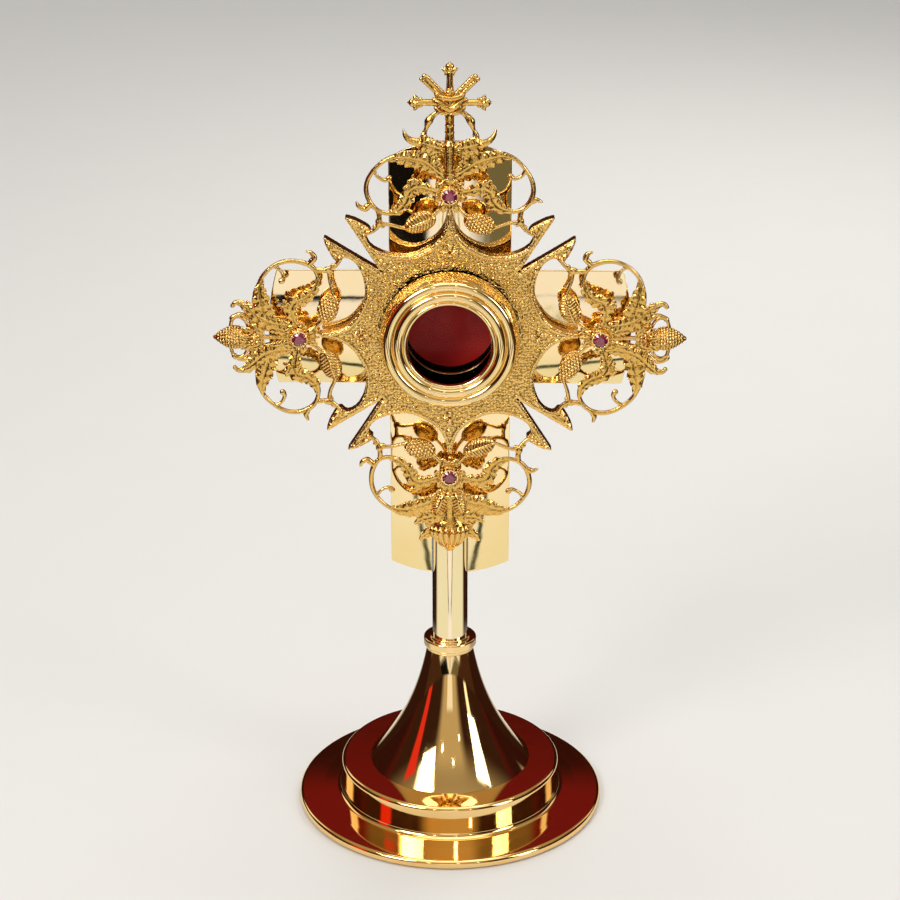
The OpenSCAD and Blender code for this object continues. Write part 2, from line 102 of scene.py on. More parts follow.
# ------------------------------------------------------------------ turned pieces
def profile(pts, closed=True, n=6):
    """Corners (r, z, fillet radius) to a dense outline with exact normals: rows r, z, nr, nz.
    The outline runs with the metal on its left-hand side, so normals point to the right."""
    P = [np.array(p[:2], float) for p in pts]
    F = [p[2] if len(p) > 2 else 0.0 for p in pts]
    m = len(P)
    rows = []
    for i in range(m):
        p = P[i]
        if not closed and i in (0, m - 1):
            q = P[1] if i == 0 else P[m - 2]
            t = unit(q - p) if i == 0 else unit(p - q)
            rows.append((p[0], p[1], t[1], -t[0]))
            continue
        a, b = P[i - 1], P[(i + 1) % m]
        u, w = unit(p - a), unit(b - p)
        ang = math.acos(max(-1, min(1, float(u @ w))))
        rad = F[i]
        if rad == "s" or ang < 1e-4:
            t = unit(u + w)
            rows.append((p[0], p[1], t[1], -t[0]))
            continue
        rad = max(rad, 0.03)
        cut = rad * math.tan(ang / 2)
        cut = min(cut, 0.48 * np.linalg.norm(p - a), 0.48 * np.linalg.norm(b - p))
        rad = cut / math.tan(ang / 2)
        s, e = p - u * cut, p + w * cut
        side = 1.0 if u[0] * w[1] - u[1] * w[0] > 0 else -1.0
        c = s + side * rad * np.array([-u[1], u[0]])
        k = max(2, int(math.ceil(n * ang / (math.pi / 2))))
        a0 = math.atan2(*(s - c)[::-1])
        for j in range(k + 1):
            th = a0 + side * ang * j / k
            q = c + rad * np.array([math.cos(th), math.sin(th)])
            nn = side * np.array([math.cos(th), math.sin(th)])
            rows.append((q[0], q[1], nn[0], nn[1]))
    return np.array(rows)

def lathe(name, rows, axis="z", centre=(0, 0, 0), seg=192, closed=True):
    """Turns an outline about +Z, or about +Y for pieces of the capsule (then z means y)."""
    rows = np.asarray(rows, float)
    m = len(rows)
    verts, norms, faces = [], [], []
    idx = []
    for i in range(m):
        r, z, nr, nz = rows[i]
        if r < 1e-6:
            idx.append([len(verts)] * seg)
            verts.append((0, 0, z)); norms.append((0, 0, 1.0 if nz >= 0 else -1.0))
        else:
            ring = []
            for k in range(seg):
                a = 2 * math.pi * k / seg
                ring.append(len(verts))
                verts.append((r * math.cos(a), r * math.sin(a), z))
                norms.append((nr * math.cos(a), nr * math.sin(a), nz))
            idx.append(ring)
    for i in range(m if closed else m - 1):
        A, B = idx[i], idx[(i + 1) % m]
        for k in range(seg):
            q = [A[k], A[(k + 1) % seg], B[(k + 1) % seg], B[k]]
            q = [x for j, x in enumerate(q) if x != q[j - 1]]
            if len(set(q)) >= 3:
                faces.append(q)
    V, N = np.array(verts, float), np.array(norms, float)
    if axis == "y":
        V = np.stack([V[:, 0], V[:, 2], -V[:, 1]], 1)
        N = np.stack([N[:, 0], N[:, 2], -N[:, 1]], 1)
    V = V + np.array(centre, float)
    return mesh_obj(name, V, faces, normals=N)

# ------------------------------------------------------------------ cast work: closed shapes joined by a voxel remesh
class Bag:
    """Closed shapes collected as one soup; x right, y depth (towards the viewer is negative), z up."""
    def __init__(self):
        self.v, self.f, self.n = [], [], 0
    def add(self, v, f):
        v = np.asarray(v, float)
        self.v.append(v)
        self.f.extend([tuple(int(i) + self.n for i in q) for q in f])
        self.n += len(v)

def tube(bag, pts, place, sides=10, n=7, flat=1.0):
    """Rows a, b, d, r: a tapering round bar along a smooth path. place maps (a, b, d) to x, y, z."""
    Q = crom(pts, n)
    c, r = Q[:, :3], np.maximum(Q[:, 3], 0.15)
    m = len(c)
    T = np.gradient(c, axis=0)
    T /= np.maximum(np.linalg.norm(T, axis=1, keepdims=True), 1e-9)
    D = np.array([0, 0, 1.0])
    S = np.cross(T, D); S /= np.maximum(np.linalg.norm(S, axis=1, keepdims=True), 1e-9)
    U = np.cross(S, T)
    rings = [(c[0] - T[0] * r[0] * 0.75, S[0], U[0], r[0] * 0.62)]
    rings += [(c[i], S[i], U[i], r[i]) for i in range(m)]
    rings += [(c[-1] + T[-1] * r[-1] * 0.75, S[-1], U[-1], r[-1] * 0.62)]
    V, F = [], []
    for (o, s, u, rr) in rings:
        for k in range(sides):
            a = 2 * math.pi * k / sides
            V.append(o + s * rr * math.cos(a) + u * rr * math.sin(a) * flat)
    M = len(rings)
    for i in range(M - 1):
        for k in range(sides):
            F.append((i * sides + k, i * sides + (k + 1) % sides, (i + 1) * sides + (k + 1) % sides, (i + 1) * sides + k))
    V.append(c[0] - T[0] * r[0]); V.append(c[-1] + T[-1] * r[-1])
    for k in range(sides):
        F.append((len(V) - 2, (k + 1) % sides, k))
        F.append((len(V) - 1, (M - 1) * sides + k, (M - 1) * sides + (k + 1) % sides))
    bag.add(place(np.array(V)), F)

def ball(bag, centre, rad, place, lat=8, lon=12, axis=None):
    """Ellipsoid with half sizes rad along a, b, d, turned by axis degrees in the a-b plane."""
    rx, ry, rz = (rad, rad, rad) if np.isscalar(rad) else rad
    V, F = [], []
    for i in range(1, lat):
        th = math.pi * i / lat
        for k in range(lon):
            ph = 2 * math.pi * k / lon
            V.append((math.sin(th) * math.cos(ph), math.sin(th) * math.sin(ph), math.cos(th)))
    V.append((0, 0, 1)); V.append((0, 0, -1))
    for i in range(lat - 2):
        for k in range(lon):
            F.append((i * lon + k, i * lon + (k + 1) % lon, (i + 1) * lon + (k + 1) % lon, (i + 1) * lon + k))
    for k in range(lon):
        F.append((len(V) - 2, (k + 1) % lon, k))
        F.append((len(V) - 1, (lat - 2) * lon + k, (lat - 2) * lon + (k + 1) % lon))
    V = np.array(V) * np.array([rx, ry, rz])
    if axis:
        a = math.radians(axis); c, s = math.cos(a), math.sin(a)
        V = np.stack([V[:, 0] * c - V[:, 1] * s, V[:, 0] * s + V[:, 1] * c, V[:, 2]], 1)
    bag.add(place(V + np.array(centre, float)), F)

def leaf(bag, pts, place, teeth=6, cup=0.5, ripple=0.35, thick=0.75, vein=0.28, one_side=0, n=8, across=10, depth_cut=0.32):
    """Acanthus leaf. Rows a, b, d, half width. cup lifts (or sinks) the edges, ripple waves them,
    teeth are the lobes along each side; one_side +1 or -1 keeps the teeth on one edge."""
    Q = crom(pts, n)
    c, w = Q[:, :3], np.maximum(Q[:, 3], 0.2)
    m = len(c)
    T = np.gradient(c, axis=0); T /= np.maximum(np.linalg.norm(T, axis=1, keepdims=True), 1e-9)
    S = np.cross(T, np.array([0, 0, 1.0])); S /= np.maximum(np.linalg.norm(S, axis=1, keepdims=True), 1e-9)
    U = np.cross(S, T)
    length = np.r_[0, np.cumsum(np.linalg.norm(np.diff(c, axis=0), axis=1))]; length /= length[-1]
    ss = np.linspace(-1, 1, across + 1)
    top, bot = [], []
    for i in range(m):
        t = length[i]
        ph = (t * teeth) % 1.0
        saw = 1.0 - depth_cut * (1 - ph) ** 1.5 if teeth else 1.0
        for s in ss:
            k = saw if (one_side == 0 or s * one_side > 0) else 1.0
            ww = w[i] * (1 + (k - 1) * abs(s))
            lift = cup * w[i] * (s * s) + ripple * math.sin(2 * math.pi * (t * teeth + 0.25)) * abs(s) ** 1.5 * min(1, w[i] / 1.5)
            lift -= vein * math.exp(-(s / 0.16) ** 2)
            fold = 0.16 * math.cos(2 * math.pi * (t * teeth * 2 + abs(s) * 0.9)) * abs(s) * min(1, w[i] / 1.5)
            p = c[i] + S[i] * ww * s + U[i] * (lift + fold)
            h = thick / 2 * (1 - 0.45 * abs(s) ** 2)
            top.append(p + U[i] * h); bot.append(p - U[i] * h)
    k = across + 1
    V = np.array(top + bot); off = len(top)
    F = []
    for i in range(m - 1):
        for j in range(across):
            a, b, c2, d = i * k + j, i * k + j + 1, (i + 1) * k + j + 1, (i + 1) * k + j
            F.append((a, b, c2, d)); F.append((a + off, d + off, c2 + off, b + off))
        F.append((i * k, (i + 1) * k, (i + 1) * k + off, i * k + off))
        F.append((i * k + across, i * k + across + off, (i + 1) * k + across + off, (i + 1) * k + across))
    for j in range(across):
        F.append((j, j + off, j + 1 + off, j + 1))
        e = (m - 1) * k
        F.append((e + j, e + j + 1, e + j + 1 + off, e + j + off))
    bag.add(place(V), F)

def ring_bar(bag, centre, R, r, place, seg=40, sides=8, arc=(0, 360), tilt=1.0):
    a0, a1 = arc
    k = max(6, int(seg * (a1 - a0) / 360))
    pts = [(centre[0] + R * math.cos(math.radians(a0 + (a1 - a0) * i / k)), centre[1] + R * tilt * math.sin(math.radians(a0 + (a1 - a0) * i / k)), centre[2], r) for i in range(k + 1)]
    tube(bag, pts, place, sides=sides, n=1)

def fuse(name, bag, voxel=0.26, smooth=3, factor=0.5):
    """Voxel remesh of the whole bag into one skin, then a light smoothing that leaves cast fillets."""
    me = bpy.data.meshes.new(name + "_soup")
    me.from_pydata(np.concatenate(bag.v).tolist(), [], bag.f)
    me.validate()
    bm = bmesh.new(); bm.from_mesh(me)
    bmesh.ops.recalc_face_normals(bm, faces=bm.faces)
    bm.to_mesh(me); bm.free()
    ob = bpy.data.objects.new(name + "_soup", me)
    scene.collection.objects.link(ob)
    mod = ob.modifiers.new("fuse", "REMESH"); mod.mode = "VOXEL"; mod.voxel_size = voxel; mod.adaptivity = 0.0
    if smooth:
        sm = ob.modifiers.new("soften", "SMOOTH"); sm.factor = factor; sm.iterations = smooth
    bpy.context.view_layer.update()
    out = bpy.data.meshes.new_from_object(ob.evaluated_get(bpy.context.evaluated_depsgraph_get()))
    bpy.data.objects.remove(ob); bpy.data.meshes.remove(me)
    out.name = name
    return out

def mesh_arrays(me):
    co = np.zeros(len(me.vertices) * 3); me.vertices.foreach_get("co", co)
    no = np.zeros(len(me.vertices) * 3); me.vertices.foreach_get("normal", no)
    return co.reshape(-1, 3), no.reshape(-1, 3)

def cells(P, size, seed=0):
    """Distance to the nearest seed of a jittered 3-D grid, 0 at a seed and about 1 at a cell's edge."""
    P = P / size
    base = np.floor(P).astype(np.int64)
    best = np.full(len(P), 9.0)
    for dx in (-1, 0, 1):
        for dy in (-1, 0, 1):
            for dz in (-1, 0, 1):
                c = base + np.array([dx, dy, dz])
                h = (c[:, 0] * 73856093) ^ (c[:, 1] * 19349663) ^ (c[:, 2] * 83492791) ^ (seed * 2654435761)
                j = np.stack([((h * k) >> 7) % 1024 / 1024.0 for k in (2246822519, 3266489917, 668265263)], 1)
                best = np.minimum(best, np.linalg.norm(P - (c + 0.15 + 0.7 * j), axis=1))
    return best

def soft_noise(P, size, seed=0):
    """Smooth value noise, about -1 to 1."""
    P = P / size
    b = np.floor(P).astype(np.int64); f = P - b; f = f * f * (3 - 2 * f)
    out = np.zeros(len(P))
    for dx in (0, 1):
        for dy in (0, 1):
            for dz in (0, 1):
                c = b + np.array([dx, dy, dz])
                h = (c[:, 0] * 73856093) ^ (c[:, 1] * 19349663) ^ (c[:, 2] * 83492791) ^ (seed * 2654435761)
                val = ((h * 2246822519) >> 9) % 2048 / 1023.5 - 1
                w = (f[:, 0] if dx else 1 - f[:, 0]) * (f[:, 1] if dy else 1 - f[:, 1]) * (f[:, 2] if dz else 1 - f[:, 2])
                out += val * w
    return out

def cast_object(name, me, grain=0.07, size=0.85, wobble=0.12, seed=1):
    co, no = mesh_arrays(me)
    d = grain * (0.55 - cells(co, size, seed)) + wobble * soft_noise(co, 3.2, seed + 5) * 0.5
    co = co + no * d[:, None]
    me.vertices.foreach_set("co", (co * MM).ravel())
    me.update(); me.shade_smooth()
    ob = bpy.data.objects.new(name, me)
    scene.collection.objects.link(ob)
    return ob

# ------------------------------------------------------------------ materials
class Mat:
    """Small node-tree builder; self.co is the object coordinate in millimetres."""
    def __init__(self, name):
        self.m = bpy.data.materials.new(name); self.m.use_nodes = True
        self.nt = self.m.node_tree; self.nt.nodes.clear()
        self.out = self.n("ShaderNodeOutputMaterial")
        tc = self.n("ShaderNodeTexCoord"); mp = self.n("ShaderNodeMapping")
        mp.inputs["Scale"].default_value = (1000, 1000, 1000)
        self.l(tc.outputs["Object"], mp.inputs["Vector"])
        self.co = mp.outputs["Vector"]
    def n(self, kind, **kw):
        x = self.nt.nodes.new(kind)
        for k, v in kw.items():
            setattr(x, k, v)
        return x
    def l(self, a, b):
        self.nt.links.new(a, b)
    def put(self, socket, v):
        if hasattr(v, "is_linked"):
            self.l(v, socket)
        elif isinstance(v, (tuple, list)) and len(v) == 3 and socket.type == "RGBA":
            socket.default_value = (*v, 1)
        else:
            socket.default_value = v
    def noise(self, scale, detail=3, rough=0.5, vec=None):
        x = self.n("ShaderNodeTexNoise")
        self.l(vec or self.co, x.inputs["Vector"])
        x.inputs["Scale"].default_value = scale; x.inputs["Detail"].default_value = detail
        x.inputs["Roughness"].default_value = rough
        return x.outputs["Fac"]
    def voronoi(self, scale, feature="F1", vec=None, out="Distance"):
        x = self.n("ShaderNodeTexVoronoi", feature=feature)
        self.l(vec or self.co, x.inputs["Vector"]); x.inputs["Scale"].default_value = scale
        return x.outputs[out]
    def stretch(self, s):
        x = self.n("ShaderNodeMapping"); x.inputs["Scale"].default_value = s
        self.l(self.co, x.inputs["Vector"])
        return x.outputs["Vector"]
    def ramp(self, fac, stops):
        x = self.n("ShaderNodeValToRGB"); self.l(fac, x.inputs["Fac"])
        e = x.color_ramp.elements
        while len(e) < len(stops):
            e.new(0.5)
        for el, (p, c) in zip(e, stops):
            el.position = p
            el.color = (c, c, c, 1) if np.isscalar(c) else (*c, 1)
        return x.outputs["Color"]
    def fit(self, fac, a, b, lo=0.0, hi=1.0):
        x = self.n("ShaderNodeMapRange"); self.l(fac, x.inputs["Value"])
        x.inputs["From Min"].default_value = lo; x.inputs["From Max"].default_value = hi
        x.inputs["To Min"].default_value = a; x.inputs["To Max"].default_value = b
        return x.outputs["Result"]
    def math(self, op, a, b=0.0):
        x = self.n("ShaderNodeMath", operation=op)
        self.put(x.inputs[0], a); self.put(x.inputs[1], b)
        return x.outputs[0]
    def mix(self, fac, a, b, blend="MIX"):
        x = self.n("ShaderNodeMix", data_type="RGBA", blend_type=blend)
        self.put(x.inputs[0], fac); self.put(x.inputs[6], a); self.put(x.inputs[7], b)
        return x.outputs[2]
    def bump(self, height, dist, strength=1.0, normal=None):
        x = self.n("ShaderNodeBump"); self.l(height, x.inputs["Height"])
        x.inputs["Distance"].default_value = dist * MM; x.inputs["Strength"].default_value = strength
        if normal is not None:
            self.l(normal, x.inputs["Normal"])
        return x.outputs["Normal"]
    def principled(self, **kw):
        x = self.n("ShaderNodeBsdfPrincipled")
        for k, v in kw.items():
            self.put(x.inputs[k.replace("_", " ")], v)
        return x
    def done(self, shader):
        self.l(shader.outputs[0] if hasattr(shader, "outputs") else shader, self.out.inputs["Surface"])
        return self.m

def mirror_gold(name, a, b, rough=(0.025, 0.075), wave=0.05):
    """Polished gold plate: slight tone drift, polishing haze, hairlines and a faint roll in the sheet."""
    m = Mat(name)
    tone = m.noise(0.035, 4, 0.55)
    col = m.mix(m.fit(tone, 0, 1, 0.32, 0.68), a, b)
    haze = m.noise(0.22, 5, 0.6)
    spots = m.ramp(m.voronoi(0.33), [(0.0, 1.0), (0.12, 0.0), (1.0, 0.0)])
    hair = m.noise(1.0, 6, 0.7, m.stretch((2.2, 2.2, 0.05)))
    rg = m.math("ADD", m.fit(haze, rough[0], rough[1], 0.3, 0.7), m.math("MULTIPLY", m.fit(hair, 0, 1, 0.58, 0.8), 0.05))
    rg = m.math("ADD", rg, m.math("MULTIPLY", spots, 0.03))
    nb = m.bump(m.noise(0.06, 2, 0.4), wave, 1.0)
    nb = m.bump(m.noise(5.0, 3, 0.6), 0.0012, 1.0, nb)
    return m.done(m.principled(Base_Color=col, Metallic=1.0, Roughness=rg, Normal=nb))

def cast_gold(name, deep, mid, edge_highlight, rough=(0.2, 0.34), grain=1.3, height=0.05, cavity=(0.44, 0.5, 0.56)):
    """Gold-plated casting: painted shade makes the colour darker in the recesses and a painted highlight makes it
    brighter on the raised edges, which are also smoother.
    """
    m = Mat(name)
    g = m.n("ShaderNodeNewGeometry")
    # Pointiness ramp: painted shade in the recesses, painted highlight on the raised edges.
    col = m.ramp(g.outputs["Pointiness"], [(cavity[0], deep), (cavity[1], mid), (cavity[2], edge_highlight)])
    tone = m.noise(0.09, 4, 0.6)
    col = m.mix(m.fit(tone, 0.0, 0.35, 0.35, 0.7), col, tuple(x * 0.72 for x in mid))
    cell = m.voronoi(grain)
    nb = m.bump(cell, height, 0.8)
    nb = m.bump(m.noise(4.2, 4, 0.6), height * 0.35, 0.8, nb)
    edge = m.fit(g.outputs["Pointiness"], rough[1], rough[0], cavity[0], cavity[2])
    rg = m.math("ADD", edge, m.fit(m.noise(0.7, 3), -0.04, 0.05))
    return m.done(m.principled(Base_Color=col, Metallic=1.0, Roughness=rg, Normal=nb))

GOLD = mirror_gold("gilt_mirror", (1.0, 0.72, 0.33), (1.0, 0.78, 0.42))
GOLD_WARM = mirror_gold("gilt_mirror_foot", (1.0, 0.66, 0.26), (1.0, 0.73, 0.34), wave=0.03)
PALE = mirror_gold("gilt_sheet", (1.0, 0.80, 0.47), (1.0, 0.85, 0.55), wave=0.09)
BEZEL = mirror_gold("gilt_bezel", (1.0, 0.76, 0.37), (1.0, 0.80, 0.43))
STEMG = mirror_gold("gilt_stem", (1.0, 0.86, 0.60), (1.0, 0.90, 0.68), rough=(0.05, 0.10))
# Castings: the first colour is painted shade for the recesses, the last a painted highlight for the raised edges.
CAST = cast_gold("gilt_casting", (0.28, 0.09, 0.01), (0.86, 0.52, 0.12), (1.0, 0.82, 0.45), rough=(0.12, 0.24))
STAR = cast_gold("gilt_pebbled", (0.36, 0.14, 0.015), (0.99, 0.63, 0.17), (1.0, 0.88, 0.55), rough=(0.13, 0.24), grain=1.2, height=0.16)

def steel_mat():
    m = Mat("zinc_steel")
    turn = m.noise(1.0, 6, 0.7, m.stretch((0.4, 0.4, 7.0)))
    spangle = m.voronoi(0.5, out="Color")
    col = m.mix(m.fit(turn, 0, 1), (0.52, 0.53, 0.55), (0.74, 0.75, 0.77))
    col = m.mix(0.06, col, spangle)
    nb = m.bump(turn, 0.012)
    return m.done(m.principled(Base_Color=col, Metallic=1.0, Roughness=m.fit(m.noise(0.5, 4), 0.22, 0.42), Normal=nb))

def iron_mat():
    m = Mat("painted_iron")
    g = m.n("ShaderNodeNewGeometry")
    # Pointiness ramp: painted shade darkens the recesses and a painted highlight lightens the raised edges.
    col = m.ramp(g.outputs["Pointiness"], [(0.45, (0.05, 0.05, 0.055)), (0.52, (0.11, 0.11, 0.12)), (0.6, (0.22, 0.21, 0.2))])
    nb = m.bump(m.noise(0.8, 6, 0.65), 0.12)
    nb = m.bump(m.voronoi(2.2), 0.05, 0.7, nb)
    return m.done(m.principled(Base_Color=col, Metallic=0.25, Roughness=m.fit(m.noise(0.4, 4), 0.5, 0.75), Normal=nb))

def aluminium_mat():
    m = Mat("aluminium_sheet")
    line = m.noise(1.0, 6, 0.75, m.stretch((0.03, 4.0, 1.0)))
    col = m.mix(m.fit(line, 0, 1), (0.62, 0.62, 0.63), (0.82, 0.82, 0.83))
    return m.done(m.principled(Base_Color=col, Metallic=1.0, Roughness=m.fit(line, 0.25, 0.45), Normal=m.bump(line, 0.01)))

def felt_mat():
    m = Mat("wool_felt")
    fib = m.noise(1.6, 8, 0.75)
    lint = m.ramp(m.voronoi(0.9), [(0.0, 1.0), (0.1, 0.0), (1.0, 0.0)])
    col = m.mix(m.fit(fib, 0, 1, 0.3, 0.7), (0.12, 0.004, 0.012), (0.30, 0.015, 0.035))
    col = m.mix(m.math("MULTIPLY", lint, 0.35), col, (0.5, 0.12, 0.13))
    nb = m.bump(fib, 0.25)
    return m.done(m.principled(Base_Color=col, Roughness=0.95, Sheen_Weight=0.6, Sheen_Roughness=0.5, Sheen_Tint=(0.9, 0.3, 0.3), Normal=nb))

def velvet_mat():
    m = Mat("silk_velvet")
    pile = m.noise(3.5, 6, 0.7)
    brush = m.noise(0.12, 3, 0.5)
    col = m.mix(m.fit(pile, 0, 1, 0.3, 0.7), (0.62, 0.008, 0.010), (0.95, 0.016, 0.018))
    col = m.mix(m.fit(brush, 0.0, 0.6, 0.4, 0.7), col, (1.0, 0.03, 0.02))
    nb = m.bump(pile, 0.12); nb = m.bump(brush, 0.6, 0.6, nb)
    return m.done(m.principled(Base_Color=col, Roughness=0.9, Sheen_Weight=0.8, Sheen_Roughness=0.35, Sheen_Tint=(1.0, 0.12, 0.08), Normal=nb))

def glass_mat(name="clear_glass", gloss=0.25):
    m = Mat(name)
    lw = m.n("ShaderNodeFresnel"); lw.inputs["IOR"].default_value = 1.28
    smear = m.noise(0.10, 4, 0.6)
    tr = m.n("ShaderNodeBsdfTransparent"); m.put(tr.inputs["Color"], m.mix(m.fit(smear, 0, 1), (0.97, 0.985, 0.98), (0.93, 0.96, 0.955)))
    gl = m.n("ShaderNodeBsdfGlossy"); m.put(gl.inputs["Color"], (gloss, gloss, gloss)); m.put(gl.inputs["Roughness"], m.fit(smear, 0.0, 0.04, 0.35, 0.8))
    mx = m.n("ShaderNodeMixShader"); m.l(lw.outputs[0], mx.inputs[0]); m.l(tr.outputs[0], mx.inputs[1]); m.l(gl.outputs[0], mx.inputs[2])
    return m.done(mx)

def garnet_mat():
    m = Mat("garnet")
    inner = m.noise(0.9, 4, 0.6)
    lw = m.n("ShaderNodeLayerWeight"); lw.inputs["Blend"].default_value = 0.45
    col = m.mix(m.fit(inner, 0, 1, 0.35, 0.65), (0.06, 0.001, 0.010), (0.36, 0.008, 0.06))
    # Layer Weight mix: painted shade, the colour turns near black where the facets turn edge-on to the viewer.
    col = m.mix(lw.outputs["Facing"], m.mix(0.35, col, (0.45, 0.012, 0.10)), (0.03, 0.0, 0.008))
    nb = m.bump(m.noise(2.0, 2), 0.004)
    return m.done(m.principled(Base_Color=col, Roughness=0.04, IOR=1.76, Transmission_Weight=0.25, Coat_Weight=1.0, Coat_Roughness=0.02, Normal=nb))

STEEL, IRON, ALU, FELT, VELVET, GLASS, GARNET = steel_mat(), iron_mat(), aluminium_mat(), felt_mat(), velvet_mat(), glass_mat(), garnet_mat()
GLASS_IN = glass_mat("inner_glass", 0.06)

for node, mat in {
        "foot_weight": IRON, "base_cover": ALU, "tie_rod": STEEL, "tie_nut": STEEL, "tie_washer": STEEL,
        "bracket_screws": STEEL, "post_screws": STEEL, "hinge_pin": STEEL, "latch_screw": STEEL, "base_felt": FELT,
        "capsule_drum": GOLD, "head_bracket": GOLD, "casting_posts": GOLD, "latch_button": GOLD,
        "front_glass": GLASS, "luna_glasses": GLASS_IN, "door_pad": VELVET}.items():
    ob = bpy.data.objects[node]
    if not ob.material_slots:
        ob.data.materials.append(mat)
    for s in ob.material_slots:
        s.material = mat
    if mat in (GLASS, GLASS_IN):
        ob.visible_shadow = False
        ob.visible_diffuse = False

# ------------------------------------------------------------------ polished pieces
def piece(ob, body, slot, mat, *nodes):
    return finish_piece(ob, body, slot, mat, *nodes)

P = profile([(62.6, 0.4, 0.25), (64.4, 0.4, 0.9), (64.4, 3.8, 2.5), (54, 4.28, 14), (46.25, 4.75, 2.3), (46.2, 18.5, 1.8),
             (30, 18.5, 0.2), (30, 17.3, 0.2), (45.0, 17.3, 0.7), (45.1, 3.55, 2.6), (54, 3.0, 8), (62.9, 2.5, 0.6)], n=10)
piece(lathe("foot_bowl", P, seg=256), "frame", "polished_gilt", GOLD_WARM, "foot_shell")

def cone_r(z):
    return -6.81 + 49.0 * math.exp(-(z - 18.5) / 47.55) - 8.09 * (70 - z) / 50
rows = []
zs = np.linspace(18.55, 70.5, 60)
for z in zs:
    s = (cone_r(z + 0.05) - cone_r(z - 0.05)) / 0.1
    n = unit((1, -s)); rows.append((cone_r(z), z, n[0], n[1]))
for z in zs[::-1]:
    s = (cone_r(z + 0.05) - cone_r(z - 0.05)) / 0.1
    n = unit((-1, s)); rows.append((cone_r(z) - 1.2 - 0.5 * (70.5 - z) / 52, z, n[0], n[1]))
piece(lathe("trumpet", rows, seg=256), "frame", "polished_gilt", GOLD, "trumpet_cone")

P = profile([(3.2, 70.53, 0.1), (10.1, 70.53, 0.62), (10.1, 72.05, 0.25), (10.95, 72.2, 0.5), (11.0, 75.83, 0.75),
             (8.55, 75.83, 0.25), (8.5, 76.68, 0.6), (3.2, 76.68, 0.1)], n=8)
piece(lathe("collar_ring", P, seg=160), "frame", "polished_gilt", GOLD, "stem_collar")
P = profile([(6.15, 76.72, 0.05), (7.35, 76.72, 0.12), (7.35, 100, "s"), (7.35, 122.0, 0.1), (6.15, 122.0, 0.05)], n=4)
piece(lathe("stem_sleeve", P, seg=192), "frame", "polished_gilt", STEMG, "stem_tube")
P = profile([(3.03, 114, 0.05), (6.1, 114, 0.2), (6.1, 122.03, 0.04), (7.35, 122.03, 0.12), (7.35, 125.53, 0.7), (3.03, 125.53, 0.05)], n=6)
piece(lathe("stem_top", P, seg=192), "frame", "polished_gilt", STEMG, "stem_cap")

C = (0, 0, HEAD)
y0 = -9.08
def arc_pts(cx, cy, r, a0, a1, n):
    return [(cx + r * math.cos(math.radians(a0 + (a1 - a0) * i / n)), cy + r * math.sin(math.radians(a0 + (a1 - a0) * i / n)),
             math.cos(math.radians(a0 + (a1 - a0) * i / n)), math.sin(math.radians(a0 + (a1 - a0) * i / n))) for i in range(n + 1)]
def arc3(p0, p1, p2, n=14):
    """Arc through three points of a profile, as rows of radius, y and outward normal."""
    (ax, ay), (bx, by), (cx, cy) = p0, p1, p2
    d = 2 * (ax * (by - cy) + bx * (cy - ay) + cx * (ay - by))
    ux = ((ax * ax + ay * ay) * (by - cy) + (bx * bx + by * by) * (cy - ay) + (cx * cx + cy * cy) * (ay - by)) / d
    uy = ((ax * ax + ay * ay) * (cx - bx) + (bx * bx + by * by) * (ax - cx) + (cx * cx + cy * cy) * (bx - ax)) / d
    r = math.hypot(ax - ux, ay - uy)
    a0, a1, a2 = (math.atan2(y - uy, x - ux) for x, y in (p0, p1, p2))
    while a1 > a0: a1 -= 2 * math.pi
    while a2 > a1: a2 -= 2 * math.pi
    return [(ux + r * math.cos(t), uy + r * math.sin(t), math.cos(t), math.sin(t)) for t in np.linspace(a0, a2, n + 1)]
rim = [tuple(r) for r in profile([(16.7, -17.9, 0.1), (16.7, -17.4, 0.05), (20.6, -17.4, 0.05), (20.6, -4.0, 0.1), (22.5, -4.0, 0.15), (22.5, -16.2, 0.1),
                                  (23.3, -17.0, 0.1), (24.8, -17.0, 0.1), (25.7, -16.0, 0.1), (25.9, y0, 0.05), (28.0, y0, 0.15), (28.0, -12.5, 0.05)],
                                 closed=False, n=4)][:-1]
rim += arc3((28.0, -12.6), (27.72, -15.4), (26.75, -18.3), 12)
rim += arc3((26.72, -18.35), (24.75, -20.35), (22.65, -19.15), 16)
rim += arc3((22.6, -19.2), (20.6, -20.95), (18.68, -19.85), 16)
rim += arc3((18.62, -19.9), (17.75, -20.3), (17.0, -19.2), 12)
piece(lathe("lens_bezel", rim, "y", C, 256), "frame", "polished_gilt", BEZEL, "lens_rim")
P = profile([(17.8, -15.3, 0.1), (20.5, -15.3, 0.1), (20.5, -13.2, 0.15), (18.6, -13.2, 0.3)], n=4)
piece(lathe("glass_ring", P, "y", C, 160), "frame", "polished_gilt", GOLD, "glass_retainer")
P = profile([(18.2, -3.9, 0.3), (18.2, -3.0, 0.1), (19.6, -3.0, 0.05), (19.6, -0.52, 0.05), (22.2, -0.52, 0.15), (22.2, -3.9, 0.45)][::-1], n=5)
piece(lathe("luna_front", P, "y", C, 160), "frame", "polished_gilt", GOLD, "luna_ring_front")
P = profile([(19.6, -0.48, 0.05), (19.6, 4.0, 0.05), (18.2, 4.0, 0.1), (18.2, 4.5, 0.15), (22.2, 4.5, 0.45), (22.2, -0.48, 0.15)][::-1], n=5)
piece(lathe("luna_back", P, "y", C, 160), "frame", "polished_gilt", GOLD, "luna_ring_back")
def join(name, objs):
    bm = bmesh.new()
    for o in objs:
        bm.from_mesh(o.data)
    me = bpy.data.meshes.new(name); bm.to_mesh(me); bm.free()
    for o in objs:
        m0 = o.data; bpy.data.objects.remove(o); bpy.data.meshes.remove(m0)
    ob = bpy.data.objects.new(name, me); scene.collection.objects.link(ob)
    return ob
for nm in ("door_plate",):
    ob = bpy.data.objects[nm]
    for s in ob.material_slots:
        s.material = GOLD
